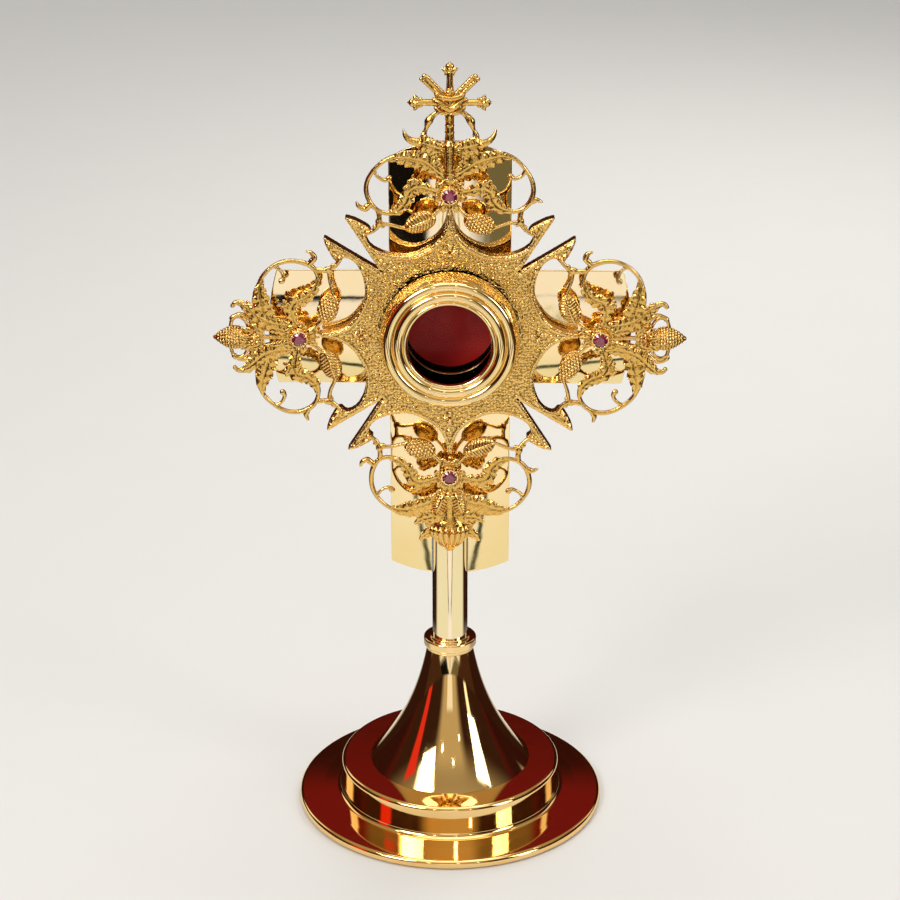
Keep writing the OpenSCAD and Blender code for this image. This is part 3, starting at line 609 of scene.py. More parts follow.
P = profile([(0, 9.15), (1.0, 9.15, 0.05), (1.0, 11.05, 0.05), (2.2, 11.05, 0.1), (2.2, 11.65, 0.2), (1.2, 12.25, 0.3), (1.2, 13.3, 0.3),
             (1.95, 14.0, 0.5), (2.0, 15.6, 0.9), (1.2, 16.6, 0.7), (0, 16.75)], closed=False, n=5)
P[0][2:] = (0, -1); P[-1][2:] = (0, 1)
piece(lathe("knob", P, "y", (-16.5, 0, HEAD), 64, closed=False), "door", "polished_gilt", GOLD, "door_knob")

# ------------------------------------------------------------------ bowed back plates
def back_plate(name, theta, w, l, rise, mat, slot_half=0.0, slot_to=0.0, nu=96, nv=120):
    """Sheet bowed about its own length: convex to the viewer across its width, with a shallow curved end."""
    R = (w * w + rise * rise) / (2 * rise)
    ins = 0.22
    us = np.linspace(-(w - ins), w - ins, nu + 1)
    us = np.sort(np.unique(np.r_[us, -slot_half, slot_half])) if slot_half else us
    verts, faces, idx = [], [], {}
    th = math.radians(theta)
    def put(u, v):
        y = PLATE_Y + 87.5 - math.sqrt(87.5 ** 2 - u * u) + 0.5
        return (u * math.cos(th) - v * math.sin(th), y, HEAD + u * math.sin(th) + v * math.cos(th))
    for i, u in enumerate(us):
        lo = max(abs(u) + 0.12, math.sqrt(max(0, 25.3 ** 2 - u * u)))
        hi = l - ins - (R - math.sqrt(R * R - u * u))
        for j in range(nv + 1):
            t = j / nv
            idx[i, j] = len(verts)
            verts.append(put(u, lo + (hi - lo) * t))
        if slot_half:
            # the slot's end is a straight line across the columns
            ks = [k for k in range(nv + 1) if (lo + (hi - lo) * k / nv) > slot_to]
            if ks and abs(u) < slot_half + 1e-6:
                k = ks[0]
                verts[idx[i, k]] = put(u, slot_to)
    for i in range(len(us) - 1):
        um = 0.5 * (us[i] + us[i + 1])
        for j in range(nv):
            v0 = verts[idx[i, j]]; v1 = verts[idx[i + 1, j]]
            if slot_half and abs(um) < slot_half:
                b = HEAD - 0.25 * (v0[2] + v1[2] + verts[idx[i, j + 1]][2] + verts[idx[i + 1, j + 1]][2])
                if b > slot_to:
                    continue
            faces.append((idx[i, j], idx[i + 1, j], idx[i + 1, j + 1], idx[i, j + 1]))
    used = sorted({q for f in faces for q in f}); remap = {q: k for k, q in enumerate(used)}
    verts = [verts[q] for q in used]; faces = [tuple(remap[q] for q in f) for f in faces]
    me = bpy.data.meshes.new(name)
    me.from_pydata((np.array(verts) * MM).tolist(), [], faces)
    bm = bmesh.new(); bm.from_mesh(me)
    bmesh.ops.recalc_face_normals(bm, faces=bm.faces)
    if sum(f.normal.y for f in bm.faces) > 0:
        bmesh.ops.reverse_faces(bm, faces=bm.faces)
    bm.to_mesh(me); bm.free(); me.shade_smooth()
    ob = bpy.data.objects.new(name, me); scene.collection.objects.link(ob)
    so = ob.modifiers.new("sheet", "SOLIDIFY"); so.thickness = 0.96 * MM; so.offset = 0.0
    be = ob.modifiers.new("edge", "BEVEL"); be.width = 0.2 * MM; be.segments = 3; be.limit_method = "ANGLE"; be.angle_limit = math.radians(40)
    wn = ob.modifiers.new("normals", "WEIGHTED_NORMAL"); wn.keep_sharp = False; wn.weight = 100
    return ob
piece(back_plate("plate_top", 0, 24.5, 79.5, 8.5, PALE), "frame", "polished_gilt", PALE, "back_plate_top")
piece(back_plate("plate_bottom", 180, 24.5, 108.6, 4.3, PALE, 7.55, 77.45), "frame", "polished_gilt", PALE, "back_plate_bottom")
piece(back_plate("plate_left", 90, 24.5, 73, 3.5, PALE), "frame", "polished_gilt", PALE, "back_plate_left")
piece(back_plate("plate_right", -90, 24.5, 73, 3.5, PALE), "frame", "polished_gilt", PALE, "back_plate_right")

# ------------------------------------------------------------------ garnets and their collets
def gem_place(theta):
    t = math.radians(theta)
    return (-GEM_D * math.sin(t), HEAD + GEM_D * math.cos(t))
for name, theta in (("top", 0), ("left", 90), ("right", -90), ("bottom", 180)):
    gx, gz = gem_place(theta)
    yb = LACE - 2.4 - 0.2
    P2 = profile([(0, yb - 0.62), (2.98, yb - 0.62, 0.05), (2.98, yb - 1.9, 0.1), (3.45, yb - 1.9, 0.12), (3.9, yb - 0.7, 0.3), (4.2, yb, 0.1), (0, yb)], closed=False, n=4)
    ob = lathe("cup", P2, "y", (gx, 0, gz), 72, closed=False)
    claws = []
    bagc = Bag()
    for k in range(6):
        a = math.radians(60 * k + 30)
        c, s = math.cos(a), math.sin(a)
        path = [(c * 3.75, s * 3.75, 1.2, 0.42), (c * 3.5, s * 3.5, 2.0, 0.42), (c * 2.95, s * 2.95, 2.62, 0.36), (c * 2.5, s * 2.5, 2.62, 0.24)]
        tube(bagc, path, lambda V: np.stack([gx + V[:, 0], yb - V[:, 2], gz + V[:, 1]], 1), sides=8, n=4)
    cl = mesh_obj("claws", np.concatenate(bagc.v), bagc.f)
    piece(join("collet_" + name, [ob, cl]), "frame", "polished_gilt", GOLD, "gem_collets")
    # brilliant: table, eight stars, kites, girdle and a pavilion that stops above the cup's floor
    V, F = [], []
    def ringv(r, y, n, off=0.0):
        s = len(V)
        for k in range(n):
            a = 2 * math.pi * (k + off) / n
            V.append((gx + r * math.cos(a), y, gz + r * math.sin(a)))
        return list(range(s, s + n))
    g0 = yb - 1.62
    t = ringv(1.62, g0 - 0.98, 8, 0.5); k1 = ringv(2.28, g0 - 0.62, 8, 0.0); g1 = ringv(2.9, g0 - 0.12, 16, 0.0); g2 = ringv(2.9, g0 + 0.1, 16, 0.0); p1 = ringv(1.3, g0 + 0.82, 8, 0.5)
    F.append(t)
    for k in range(8):
        n1 = (k + 1) % 8
        F.append((k1[k], t[k], t[k - 1]))
        F.append((k1[k], g1[(2 * k + 1) % 16], t[k])); F.append((t[k], g1[(2 * k + 1) % 16], k1[n1]))
        F.append((k1[k], g1[2 * k], g1[(2 * k + 1) % 16])); F.append((k1[k], g1[(2 * k - 1) % 16], g1[2 * k]))
        F.append((g2[2 * k], g2[(2 * k + 1) % 16], p1[k])); F.append((g2[(2 * k + 1) % 16], g2[(2 * k + 2) % 16], p1[k]))
        F.append((g2[(2 * k + 2) % 16], p1[n1], p1[k]))
    for k in range(16):
        F.append((g1[k], g2[k], g2[(k + 1) % 16], g1[(k + 1) % 16]))
    F.append(p1)
    gem = mesh_obj("gem_" + name, V, F, smooth=False)
    piece(gem, "frame", "garnet", GARNET, "garnets")

# ------------------------------------------------------------------ cast vine work
class Cast:
    """Collects the strands, leaves and buds of one casting. a is across, b outward, d towards the viewer."""
    def __init__(self, theta, seed, centre=GEM_D, back=LACE):
        self.bag = Bag(); self.c = centre; self.back = back
        t = math.radians(theta); self.ct, self.st = math.cos(t), math.sin(t)
        r = np.random.default_rng(seed)
        self.ph = r.uniform(0, 6.28, (2, 4)); self.side = 1; self.amp = 0.4
        self.stout, self.broad = 1.2, 1.42
    def place(self, Q):
        a, b, d = Q[:, 0].copy(), Q[:, 1].copy(), Q[:, 2]
        p = self.ph[0 if self.side > 0 else 1]
        k = self.amp * np.clip((np.abs(a) - 1.5) / 8, 0, 1)
        da = k * np.sin(b * 0.23 + p[0]); db = k * np.sin(np.abs(a) * 0.21 + p[1])
        d = d + 0.5 * k * np.sin(a * 0.3 + p[2]) * np.clip(d, 0, 1)
        a = (a + da) * self.side; b = b + db
        X = a * self.ct - (self.c + b) * self.st
        Z = HEAD + a * self.st + (self.c + b) * self.ct
        return np.stack([X, self.back - d, Z], 1)
    def rows(self, pts, last, d):
        out = []
        m = len(pts)
        for i, p in enumerate(pts):
            dd = p[2] if len(p) > 2 else (np.interp(i / max(1, m - 1), np.linspace(0, 1, len(d)), d) if not np.isscalar(d) else d)
            w = np.interp(i / max(1, m - 1), np.linspace(0, 1, len(last)), last) if not np.isscalar(last) else last
            out.append((p[0], p[1], dd, w))
        return out
    def vine(self, pts, r=0.7, d=1.15, sides=8, n=6):
        r = [q * self.stout for q in r] if not np.isscalar(r) else r * self.stout
        tube(self.bag, self.rows(pts, r, d), self.place, sides=sides, n=n)
    def leaf(self, pts, w, d=1.9, **kw):
        w = [q * self.broad for q in w] if not np.isscalar(w) else w * self.broad
        leaf(self.bag, self.rows(pts, w, d), self.place, **kw)
    def blob(self, c, rad, axis=None, lat=8, lon=12):
        ball(self.bag, c, rad, self.place, lat, lon, axis)
    def studs(self, c, half, tilt, r=0.66, step=1.34, d0=1.2, rise=2.0, ribs=False):
        """Grape cluster or ribbed leaf bud: an almond covered in studs, or in slanting ribs."""
        L, Wd = half
        self.blob((c[0], c[1], d0), (L, Wd, rise), tilt, 10, 18)
        t = math.radians(tilt); ct, st = math.cos(t), math.sin(t)
        def surf(u, v, lift=0.0):
            q = max(0.0, 1 - (u / L) ** 2 - (v / Wd) ** 2)
            return (c[0] + u * ct - v * st, c[1] + u * st + v * ct, d0 + rise * math.sqrt(q) + lift)
        if ribs:
            rows = [surf(u, 0, 0.12) for u in np.linspace(-L * 0.96, L * 0.96, 9)]
            self.vine(rows, [0.42, 0.5, 0.3], sides=6, n=3)
            k = int(2 * L / 1.25)
            for i in range(k):
                u0 = -L * 0.86 + i * 1.25
                for s in (-1, 1):
                    p = []
                    for w in np.linspace(0, 1, 5):
                        v = s * w * Wd * 0.95; u = u0 + w * 1.6
                        if (u / L) ** 2 + (v / Wd) ** 2 < 0.97:
                            p.append(surf(u, v, 0.05))
                    if len(p) > 2:
                        self.vine(p, [0.36, 0.3], sides=6, n=2)
            return
        nu = int(2 * L / step)
        for i in range(nu + 1):
            u = -L + (i + 0.25) * 2 * L / (nu + 0.5)
            nv = max(1, int(2 * Wd / step))
            for j in range(nv + 1):
                v = -Wd + (j + (0.5 if i % 2 else 0.0)) * 2 * Wd / nv
                q = (u / L) ** 2 + (v / Wd) ** 2
                if q < 0.9:
                    self.blob(surf(u, v, 0.08), r * (1 - 0.22 * q), None, 6, 9)
    def make(self, name, voxel=0.23, smooth=1, grain=0.08, seed=3):
        me = fuse(name, self.bag, voxel, smooth, 0.5)
        ob = cast_object(name, me, grain=grain, size=0.7, wobble=0.1, seed=seed)
        return ob

def lobe_common(c, sgn, thorn, lean):
    c.side = sgn
    c.vine([(17.0, 15.4), (20.8, 16.2), (25.6, 14.2), (29.4, 10.4), (31.8, 5.6), (32.3, 0.8), (31, -3.6), (28, -6.6), (23.3, -7.6), (18.8, -6.2), (15.9, -2.8)],
           [0.9, 0.8, 0.75, 0.75, 0.8, 0.85, 0.9, 0.8, 0.7, 0.6, 0.5], [1.6, 1.3, 1.1, 1.1, 1.2, 1.4, 1.5])
    c.vine([(29.6, 9.9), (27.9, 7.4), (25.2, 6.1), (23.4, 6.8)], [0.7, 0.6, 0.7, 1.0], 1.2)
    c.blob((23.5, 7.1, 1.3), (1.25, 1.0, 0.9))
    if thorn > 0:
        c.vine([(31.3, -3.2), (33.6, -1.9), (36.0, -2.6)], [0.9, 0.85, 0.4], 1.2)
        c.blob((32.6, -2.5, 1.3), (1.4, 1.0, 0.9))
    else:
        c.vine([(31.2, -4.0), (33.4, -6.3), (35.8, -5.4), (36.5, -3.6)], [0.9, 1.0, 0.8, 0.4], 1.2)
        c.blob((32.6, -5.2, 1.3), (1.6, 1.1, 0.9), -40)
    # lower shoot with its leafy node, on to the star plate and to the grape
    c.vine([(28.5, -6.3), (28.0, -9.5), (28.4, -12.4), (29.6, -14.4), (31.6, -15.9), (32.8, -16.4)], [0.8, 0.9, 0.8, 0.75, 0.8, 0.9], [1.2, 1.3, 1.1, 0.9, 0.6, 0.3])
    c.blob((28.2, -11.4, 1.3), (1.5, 1.9, 1.1)); c.blob((26.9, -12.7, 1.3), (1.2, 0.9, 0.8), 20); c.blob((29.8, -13.2, 1.2), (1.1, 0.8, 0.7), -30)
    c.vine([(27.6, -11.8), (23.5, -12.3), (19.2, -13.7), (16, -14.6)], [0.75, 0.65, 0.6, 0.6], 1.2)
    c.vine([(2.4, -3.6), (4.2, -6.2), (6.6, -8.8)], [0.8, 0.7, 0.8], [1.3, 1.2])
    c.studs((11.9, -11.9), (6.7, 4.3), -20 + lean, ribs=(sgn < 0), d0=0.9, rise=2.2)
    # outer and inner acanthus leaves
    c.leaf([(1.8, 6.0), (5.2, 9.9), (10, 12.8), (15.5, 14.4), (20.5, 15.2), (24.0, 14.4)], [1.0, 2.0, 2.9, 2.7, 1.7, 0.5], [1.9, 2.6, 2.9, 2.4, 1.8],
           teeth=7, one_side=1, cup=-0.16, ripple=0.5, vein=0.35)
    c.vine([(4.0, 9.4), (9.6, 13.6), (15.5, 15.9), (20.8, 16.2)], [0.4, 0.5, 0.5, 0.5], [2.4, 2.6, 2.1, 1.5])
    c.leaf([(3.2, 0.3), (7.5, 1.8), (12, 2.6), (15.4, 1.0), (17.2, -3.0), (20.5, -6.2), (24.6, -7.3)], [0.8, 1.7, 2.3, 2.4, 2.2, 1.7, 0.6], [2.0, 2.7, 3.0, 2.6, 2.2, 1.7],
           teeth=8, cup=-0.17, ripple=0.5, vein=0.35)
    c.leaf([(11.0, 3.0), (13.6, 5.0), (16.4, 5.6)], [1.2, 1.3, 0.3], [2.5, 2.9, 2.4], teeth=3, cup=-0.17)
    c.leaf([(0.8, -3.0), (1.9, -5.0), (3.2, -7.2)], [1.0, 1.4, 0.5], [2.0, 2.3, 1.6], teeth=2, cup=-0.17)
    for ang, ln in ((40, 7.2), (-14, 6.6), (66, 7.0)):
        t = math.radians(ang)
        c.leaf([(3.2 * math.cos(t), 3.2 * math.sin(t)), (5.2 * math.cos(t), 5.2 * math.sin(t)), (ln * math.cos(t + 0.15), ln * math.sin(t + 0.15))],
               [0.9, 1.35, 0.3], [2.1, 2.6, 2.0], teeth=2, cup=-0.2)

def lobe_heart(c):
    c.side = 1
    c.blob((0, 0, 1.15), (4.3, 4.3, 1.4), None, 10, 24)
    c.vine([(0, -2.5), (0, -7.6)], [1.0, 0.6], [1.6, 1.2])

def build_top():
    c = Cast(0, 11); lobe_heart(c)
    c.vine([(0, 3.0), (0, 8), (0, 12.5), (0, 20.4)], [1.4, 1.55, 1.7, 2.0], [1.6, 1.7, 1.8, 1.7], sides=12)
    for b in (12.8, 14.4, 16.0):
        c.blob((0, b, 1.7), (2.25, 0.55, 2.1), None, 8, 16)
    c.blob((0, 19.6, 1.7), (3.6, 1.5, 1.9), None, 8, 14); c.blob((0, 9.2, 2.0), (2.0, 1.0, 1.7))
    c.leaf([(0, 4.0), (0.2, 7.0), (0, 10.6)], [1.0, 1.6, 0.4], [2.6, 3.3, 2.6], teeth=3, cup=-0.17)
    for s in (1, -1):
        lobe_common(c, s, s, 0)
        c.leaf([(1.5, 18.3), (5, 19.0), (9.5, 20.2), (13.0, 21.0)], [1.2, 2.3, 2.9, 1.6], [1.8, 2.7, 2.9, 2.0], teeth=5, cup=-0.17, ripple=0.5)
        c.vine([(12.4, 20.8), (15.4, 21.9), (17.2, 24.0), (17.7, 26.4)], [1.4, 1.2, 0.8, 0.35], [1.8, 1.7, 1.5])
        c.leaf([(8.2, 19.6), (9.6, 22.2), (10.4, 24.9)], [1.9, 1.7, 0.5], [2.0, 2.3, 1.6], teeth=3, cup=-0.17)
        c.vine([(2.2, 16.6), (4.6, 17.2), (7.1, 15.8), (6.9, 13.2), (5.0, 12.3), (4.0, 13.7), (5.2, 14.8)], [0.8, 0.9, 0.9, 0.8, 0.8, 0.8, 1.0], [1.4, 1.7, 1.9])
        c.leaf([(3.4, 17.4), (6.0, 16.9), (8.6, 15.0)], [0.9, 1.4, 0.4], [2.4, 2.8, 2.0], teeth=3, cup=-0.17)
    return c.make("vine_top", seed=21)

def build_side(theta, seed, name):
    c = Cast(theta, seed); lobe_heart(c)
    c.vine([(0, 3), (0, 10), (0, 19.4)], [1.0, 0.8, 0.8], 1.5)
    c.blob((0, 16.5, 1.5), (1.7, 0.7, 1.3)); c.blob((0, 18.0, 1.5), (2.3, 0.9, 1.6))
    for s in (1, -1):
        lobe_common(c, s, -s if theta > 0 else s, 0)
        c.vine([(2.7, 6.5), (3.0, 11.6), (4.3, 15.6), (7.0, 19.0), (9.9, 22.6), (8.9, 25.8), (8.0, 26.6)], [0.75, 0.7, 0.7, 0.7, 0.75, 0.85, 1.0], 1.3)
        c.leaf([(5.2, 3.1), (5.6, 9.6), (8.0, 15.0), (12.0, 19.4), (15.0, 23.6)], [1.2, 2.2, 2.5, 1.8, 0.5], [2.0, 2.8, 3.0, 2.2, 1.6], teeth=8, cup=-0.17, ripple=0.5)
        c.leaf([(2.0, 4.6), (3.6, 9.0), (3.4, 13.6)], [1.0, 1.7, 0.5], [2.2, 2.8, 2.0], teeth=4, cup=-0.17)
        c.leaf([(1.0, 14.5), (3.6, 16.6), (5.0, 20.2)], [0.9, 1.6, 0.4], [1.9, 2.4, 1.6], teeth=3, cup=-0.17)
        c.vine([(12.4, 15.4), (14.6, 17.4), (17.0, 17.2)], [0.6, 0.7, 0.8], 1.4)
    return c.make(name, seed=seed + 9)

def build_bottom():
    c = Cast(180, 47); lobe_heart(c)
    c.vine([(0, 3), (0, 10), (0, 21.0)], [1.3, 1.5, 1.8], [1.6, 1.8, 2.0], sides=12)
    for b in (7.6, 9.0):
        c.blob((0, b, 1.9), (2.2, 0.6, 1.9), None, 8, 16)
    for s in (1, -1):
        lobe_common(c, s, -s, 0)
        c.leaf([(2.5, 8.5), (8, 12.0), (13, 13.2), (17.2, 13.4), (20.2, 16.2)], [1.4, 2.5, 2.2, 1.4, 0.5], [2.1, 2.9, 2.9, 2.0, 1.6], teeth=6, cup=-0.17, ripple=0.5)
        c.leaf([(2.5, 16), (7.2, 18.2), (11.3, 19.3), (14.5, 21.6)], [1.8, 2.2, 1.5, 0.5], [2.2, 2.9, 2.3, 1.5], teeth=5, cup=-0.17, ripple=0.5)
        c.studs((3.9, 12.4), (5.0, 2.9), 72, d0=1.8, rise=2.3, ribs=True)
        c.leaf([(1.2, 15.0), (3.6, 18.6), (4.4, 22.4)], [1.4, 2.4, 0.8], [2.4, 3.4, 2.6], teeth=4, cup=-0.17)
    return c.make("vine_bottom", seed=33)

finish_piece(build_top(), "frame", "grained_gilt", CAST, "vine_casting_top")
finish_piece(build_side(90, 5, "vine_left"), "frame", "grained_gilt", CAST, "vine_casting_left")
finish_piece(build_side(-90, 8, "vine_right"), "frame", "grained_gilt", CAST, "vine_casting_right")
finish_piece(build_bottom(), "frame", "grained_gilt", CAST, "vine_casting_bottom")

# ------------------------------------------------------------------ finials and calyx
def build_cross():
    c = Cast(0, 71, centre=97.2); c.amp = 0.0; c.stout = 1.08
    for (pts, r) in (([(0, -16.6), (0, -8), (0, 0), (0, 7), (0, 12.2)], [1.75, 1.55, 1.9, 1.25, 1.1]),
                     ([(-12.4, 0), (-6, 0), (0, 0), (6, 0), (12.4, 0)], [1.1, 1.25, 1.8, 1.25, 1.1])):
        c.vine(pts, r, 1.25, sides=12)
    for b in (-9.2, -12.0, -14.6):
        c.blob((0, b, 1.25), (2.0, 0.55, 1.8), None, 8, 14)
    c.blob((0, -17.2, 1.4), (2.6, 1.4, 1.9), None, 8, 14)
    for ang in (0, 90, -90):
        t = math.radians(ang); ct, st = math.cos(t), math.sin(t)
        R = lambda x, y: (x * ct - y * st, x * st + y * ct)
        for q in ((0, 14.6, 1.35, 1.7), (-1.9, 13.2, 1.3, 0.95), (1.9, 13.2, 1.3, 0.95)):
            x, y = R(q[0], q[1]); c.blob((x, y, q[2]), (q[3] if ang == 0 else 1.25, 1.25 if ang == 0 else q[3], 1.1) if abs(q[0]) < 1 else 1.0)
        c.vine([R(-1.2, 12.4), R(-2.9, 13.6)], [0.9, 0.45], 1.3); c.vine([R(1.2, 12.4), R(2.9, 13.6)], [0.9, 0.45], 1.3)
        c.vine([R(0, 13.5), R(0, 16.1)], [1.3, 0.4], 1.3); c.vine([R(-1.5, 11.2), R(1.5, 11.2)], [0.6, 0.6], 1.3)
    for s in (1, -1):
        c.side = s
        for off in (-0.85, 0.85):
            dx, dy = off * 0.707, -off * 0.707
            c.vine([(1.6 + dx, 1.6 + dy), (5 + dx, 5 + dy), (9.4 + dx, 9.5 + dy)], [0.85, 0.85, 0.95], 1.3)
        c.blob((9.8, 10.6, 1.3), 0.95); c.blob((10.9, 9.4, 1.3), 0.9)
        c.vine([(2.6, -2.4), (6.0, -4.8), (8.1, -7.4), (9.2, -10.6), (10.3, -13.6), (10.1, -16.2)], [1.1, 1.0, 1.5, 0.7, 1.1, 0.8], 1.2)
        c.blob((8.3, -7.4, 1.3), (1.5, 1.9, 1.2), 30); c.blob((7.0, -5.6, 1.4), 1.1); c.blob((9.8, -12.8, 1.2), (1.0, 1.4, 0.9))
        # draped garland across the crossing
        c.vine([(6.2, 1.6), (3.8, 0.2), (1.6, -1.4), (0, -2.2)], [0.75, 1.0, 1.15, 1.2], [2.3, 3.0, 3.2, 3.2])
        c.vine([(5.0, 3.2), (3.0, 2.4), (0, 2.0)], [1.0, 0.9, 0.9], [2.1, 2.8, 3.0])
        c.vine([(5.4, -2.0), (3.2, -3.6), (1.2, -4.0)], [0.8, 0.9, 0.8], [1.9, 2.5, 2.6])
        c.blob((4.8, 3.5, 2.2), (1.3, 1.0, 1.1))
    c.side = 1
    c.blob((0, 4.4, 2.0), (1.9, 1.5, 1.5)); c.blob((0, -4.6, 2.4), (1.2, 2.2, 1.4)); c.blob((0, 0, 1.8), (3.0, 3.0, 1.4))
    return c.make("cross_finial", voxel=0.2, seed=61)

def build_bud(theta, seed, name):
    """Pointed bud on a leafy cup, with a curved prong each side."""
    c = Cast(theta, seed); c.amp = 0.15
    c.vine([(0, 18.6), (0, 21)], [1.6, 1.6], 1.6)
    P = [(1.5, 19.5), (2.6, 21.4), (4.0, 23.6), (4.45, 26.0), (3.9, 28.6), (2.6, 31.2), (1.2, 33.3)]
    Q = crom([(0, b, 1.55, r) for r, b in P], 6)
    tube(c.bag, Q, c.place, sides=20, n=1)
    for i in range(11):
        b = 20.9 + i * 1.16
        r = float(np.interp(b, Q[:, 1], Q[:, 3]))
        k = max(5, int(2 * math.pi * r / 1.25))
        for j in range(k):
            a = 2 * math.pi * (j + 0.5 * (i % 2)) / k
            c.blob((r * math.cos(a), b, 1.55 + r * math.sin(a)), 0.62 - 0.015 * i, None, 5, 8)
    for s in (1, -1):
        c.side = s
        c.vine([(0.8, 20.6), (4.2, 20.5), (7.2, 21.8), (8.8, 24.0), (7.9, 26.4), (5.0, 27.4), (3.4, 27.6)], [0.7, 0.6, 0.6, 0.8, 0.65, 0.6, 0.5], 1.2)
        c.vine([(0.8, 20.4), (3.2, 19.8), (5.8, 19.0), (9.2, 18.6), (12.4, 20.4), (14.5, 23.2), (14.4, 25.2), (13.2, 26.3)], [0.8, 0.75, 0.75, 0.8, 0.9, 0.85, 0.85, 0.6], 1.1)
        c.leaf([(4.6, 19.4), (8.0, 18.2), (11.0, 19.0), (13.4, 21.4), (14.8, 24.4)], [0.7, 1.7, 2.1, 1.7, 0.6], [1.5, 2.0, 2.0, 1.8, 1.3], teeth=5, cup=-0.17)
        c.blob((13.3, 26.2, 1.2), (0.95, 0.95, 0.9))
        c.leaf([(0.6, 19.2), (2.9, 20.4), (4.4, 23.4)], [0.9, 1.5, 0.4], [2.6, 3.6, 3.2], teeth=3, cup=-0.17)
        c.leaf([(0.4, 18.8), (1.1, 21.0), (1.5, 23.6)], [0.9, 1.3, 0.4], [3.4, 5.2, 5.6], teeth=3, cup=-0.2)
    return c.make(name, voxel=0.22, smooth=1, seed=seed)

def build_calyx():
    """Cup of overlapping pointed leaves under the lower casting."""
    c = Cast(180, 91, back=-7.6); c.amp = 0.1
    Q = crom([(0, b, 2.4, r) for b, r in ((19.6, 5.4), (22.0, 6.9), (25.0, 6.8), (28.4, 5.2), (31.0, 3.5), (32.0, 2.6))], 6)
    tube(c.bag, Q, c.place, sides=28, n=1, flat=0.62)
    for row, (b0, b1, n, r0, r1, off) in enumerate(((30.6, 22.4, 9, 0.66, 1.2, 0.0), (31.2, 25.4, 8, 0.6, 0.95, 0.5), (31.6, 28.2, 6, 0.5, 0.7, 0.0))):
        for i in range(n):
            t = math.pi * (i + off + 0.1) / n - math.pi * 0.02
            pts = []
            for k in range(6):
                b = b0 + (b1 - b0) * k / 5
                r = float(np.interp(b, Q[:, 1], Q[:, 3])) + 0.25 + 0.25 * k / 5
                pts.append((r * math.cos(t), b, 2.4 + 0.62 * r * math.sin(t), r0 + (r1 - r0) * math.sin(math.pi * min(1, k / 5 * 0.8 + 0.1))))
            pts[-1] = (*pts[-1][:3], 0.25)
            tube(c.bag, pts, c.place, sides=8, n=3)
    for s in (1, -1):
        c.side = s
        c.leaf([(3.0, 25.6), (7.6, 25.4), (10.6, 27.4), (12.2, 29.8)], [1.4, 2.0, 1.3, 0.4], [2.4, 3.2, 2.8, 2.0], teeth=4, cup=-0.17)
        c.leaf([(2.4, 21.0), (6.4, 21.2), (9.8, 22.6)], [1.2, 1.7, 0.4], [3.0, 3.8, 2.6], teeth=4, cup=-0.17)
    return c.make("calyx", voxel=0.24, smooth=2, seed=93)

finish_piece(build_cross(), "frame", "grained_gilt", CAST, "finial_cross")
finish_piece(build_bud(90, 15, "bud_left"), "frame", "grained_gilt", CAST, "bud_finial_left")
finish_piece(build_bud(-90, 18, "bud_right"), "frame", "grained_gilt", CAST, "bud_finial_right")
finish_piece(build_calyx(), "frame", "grained_gilt", CAST, "stem_calyx")

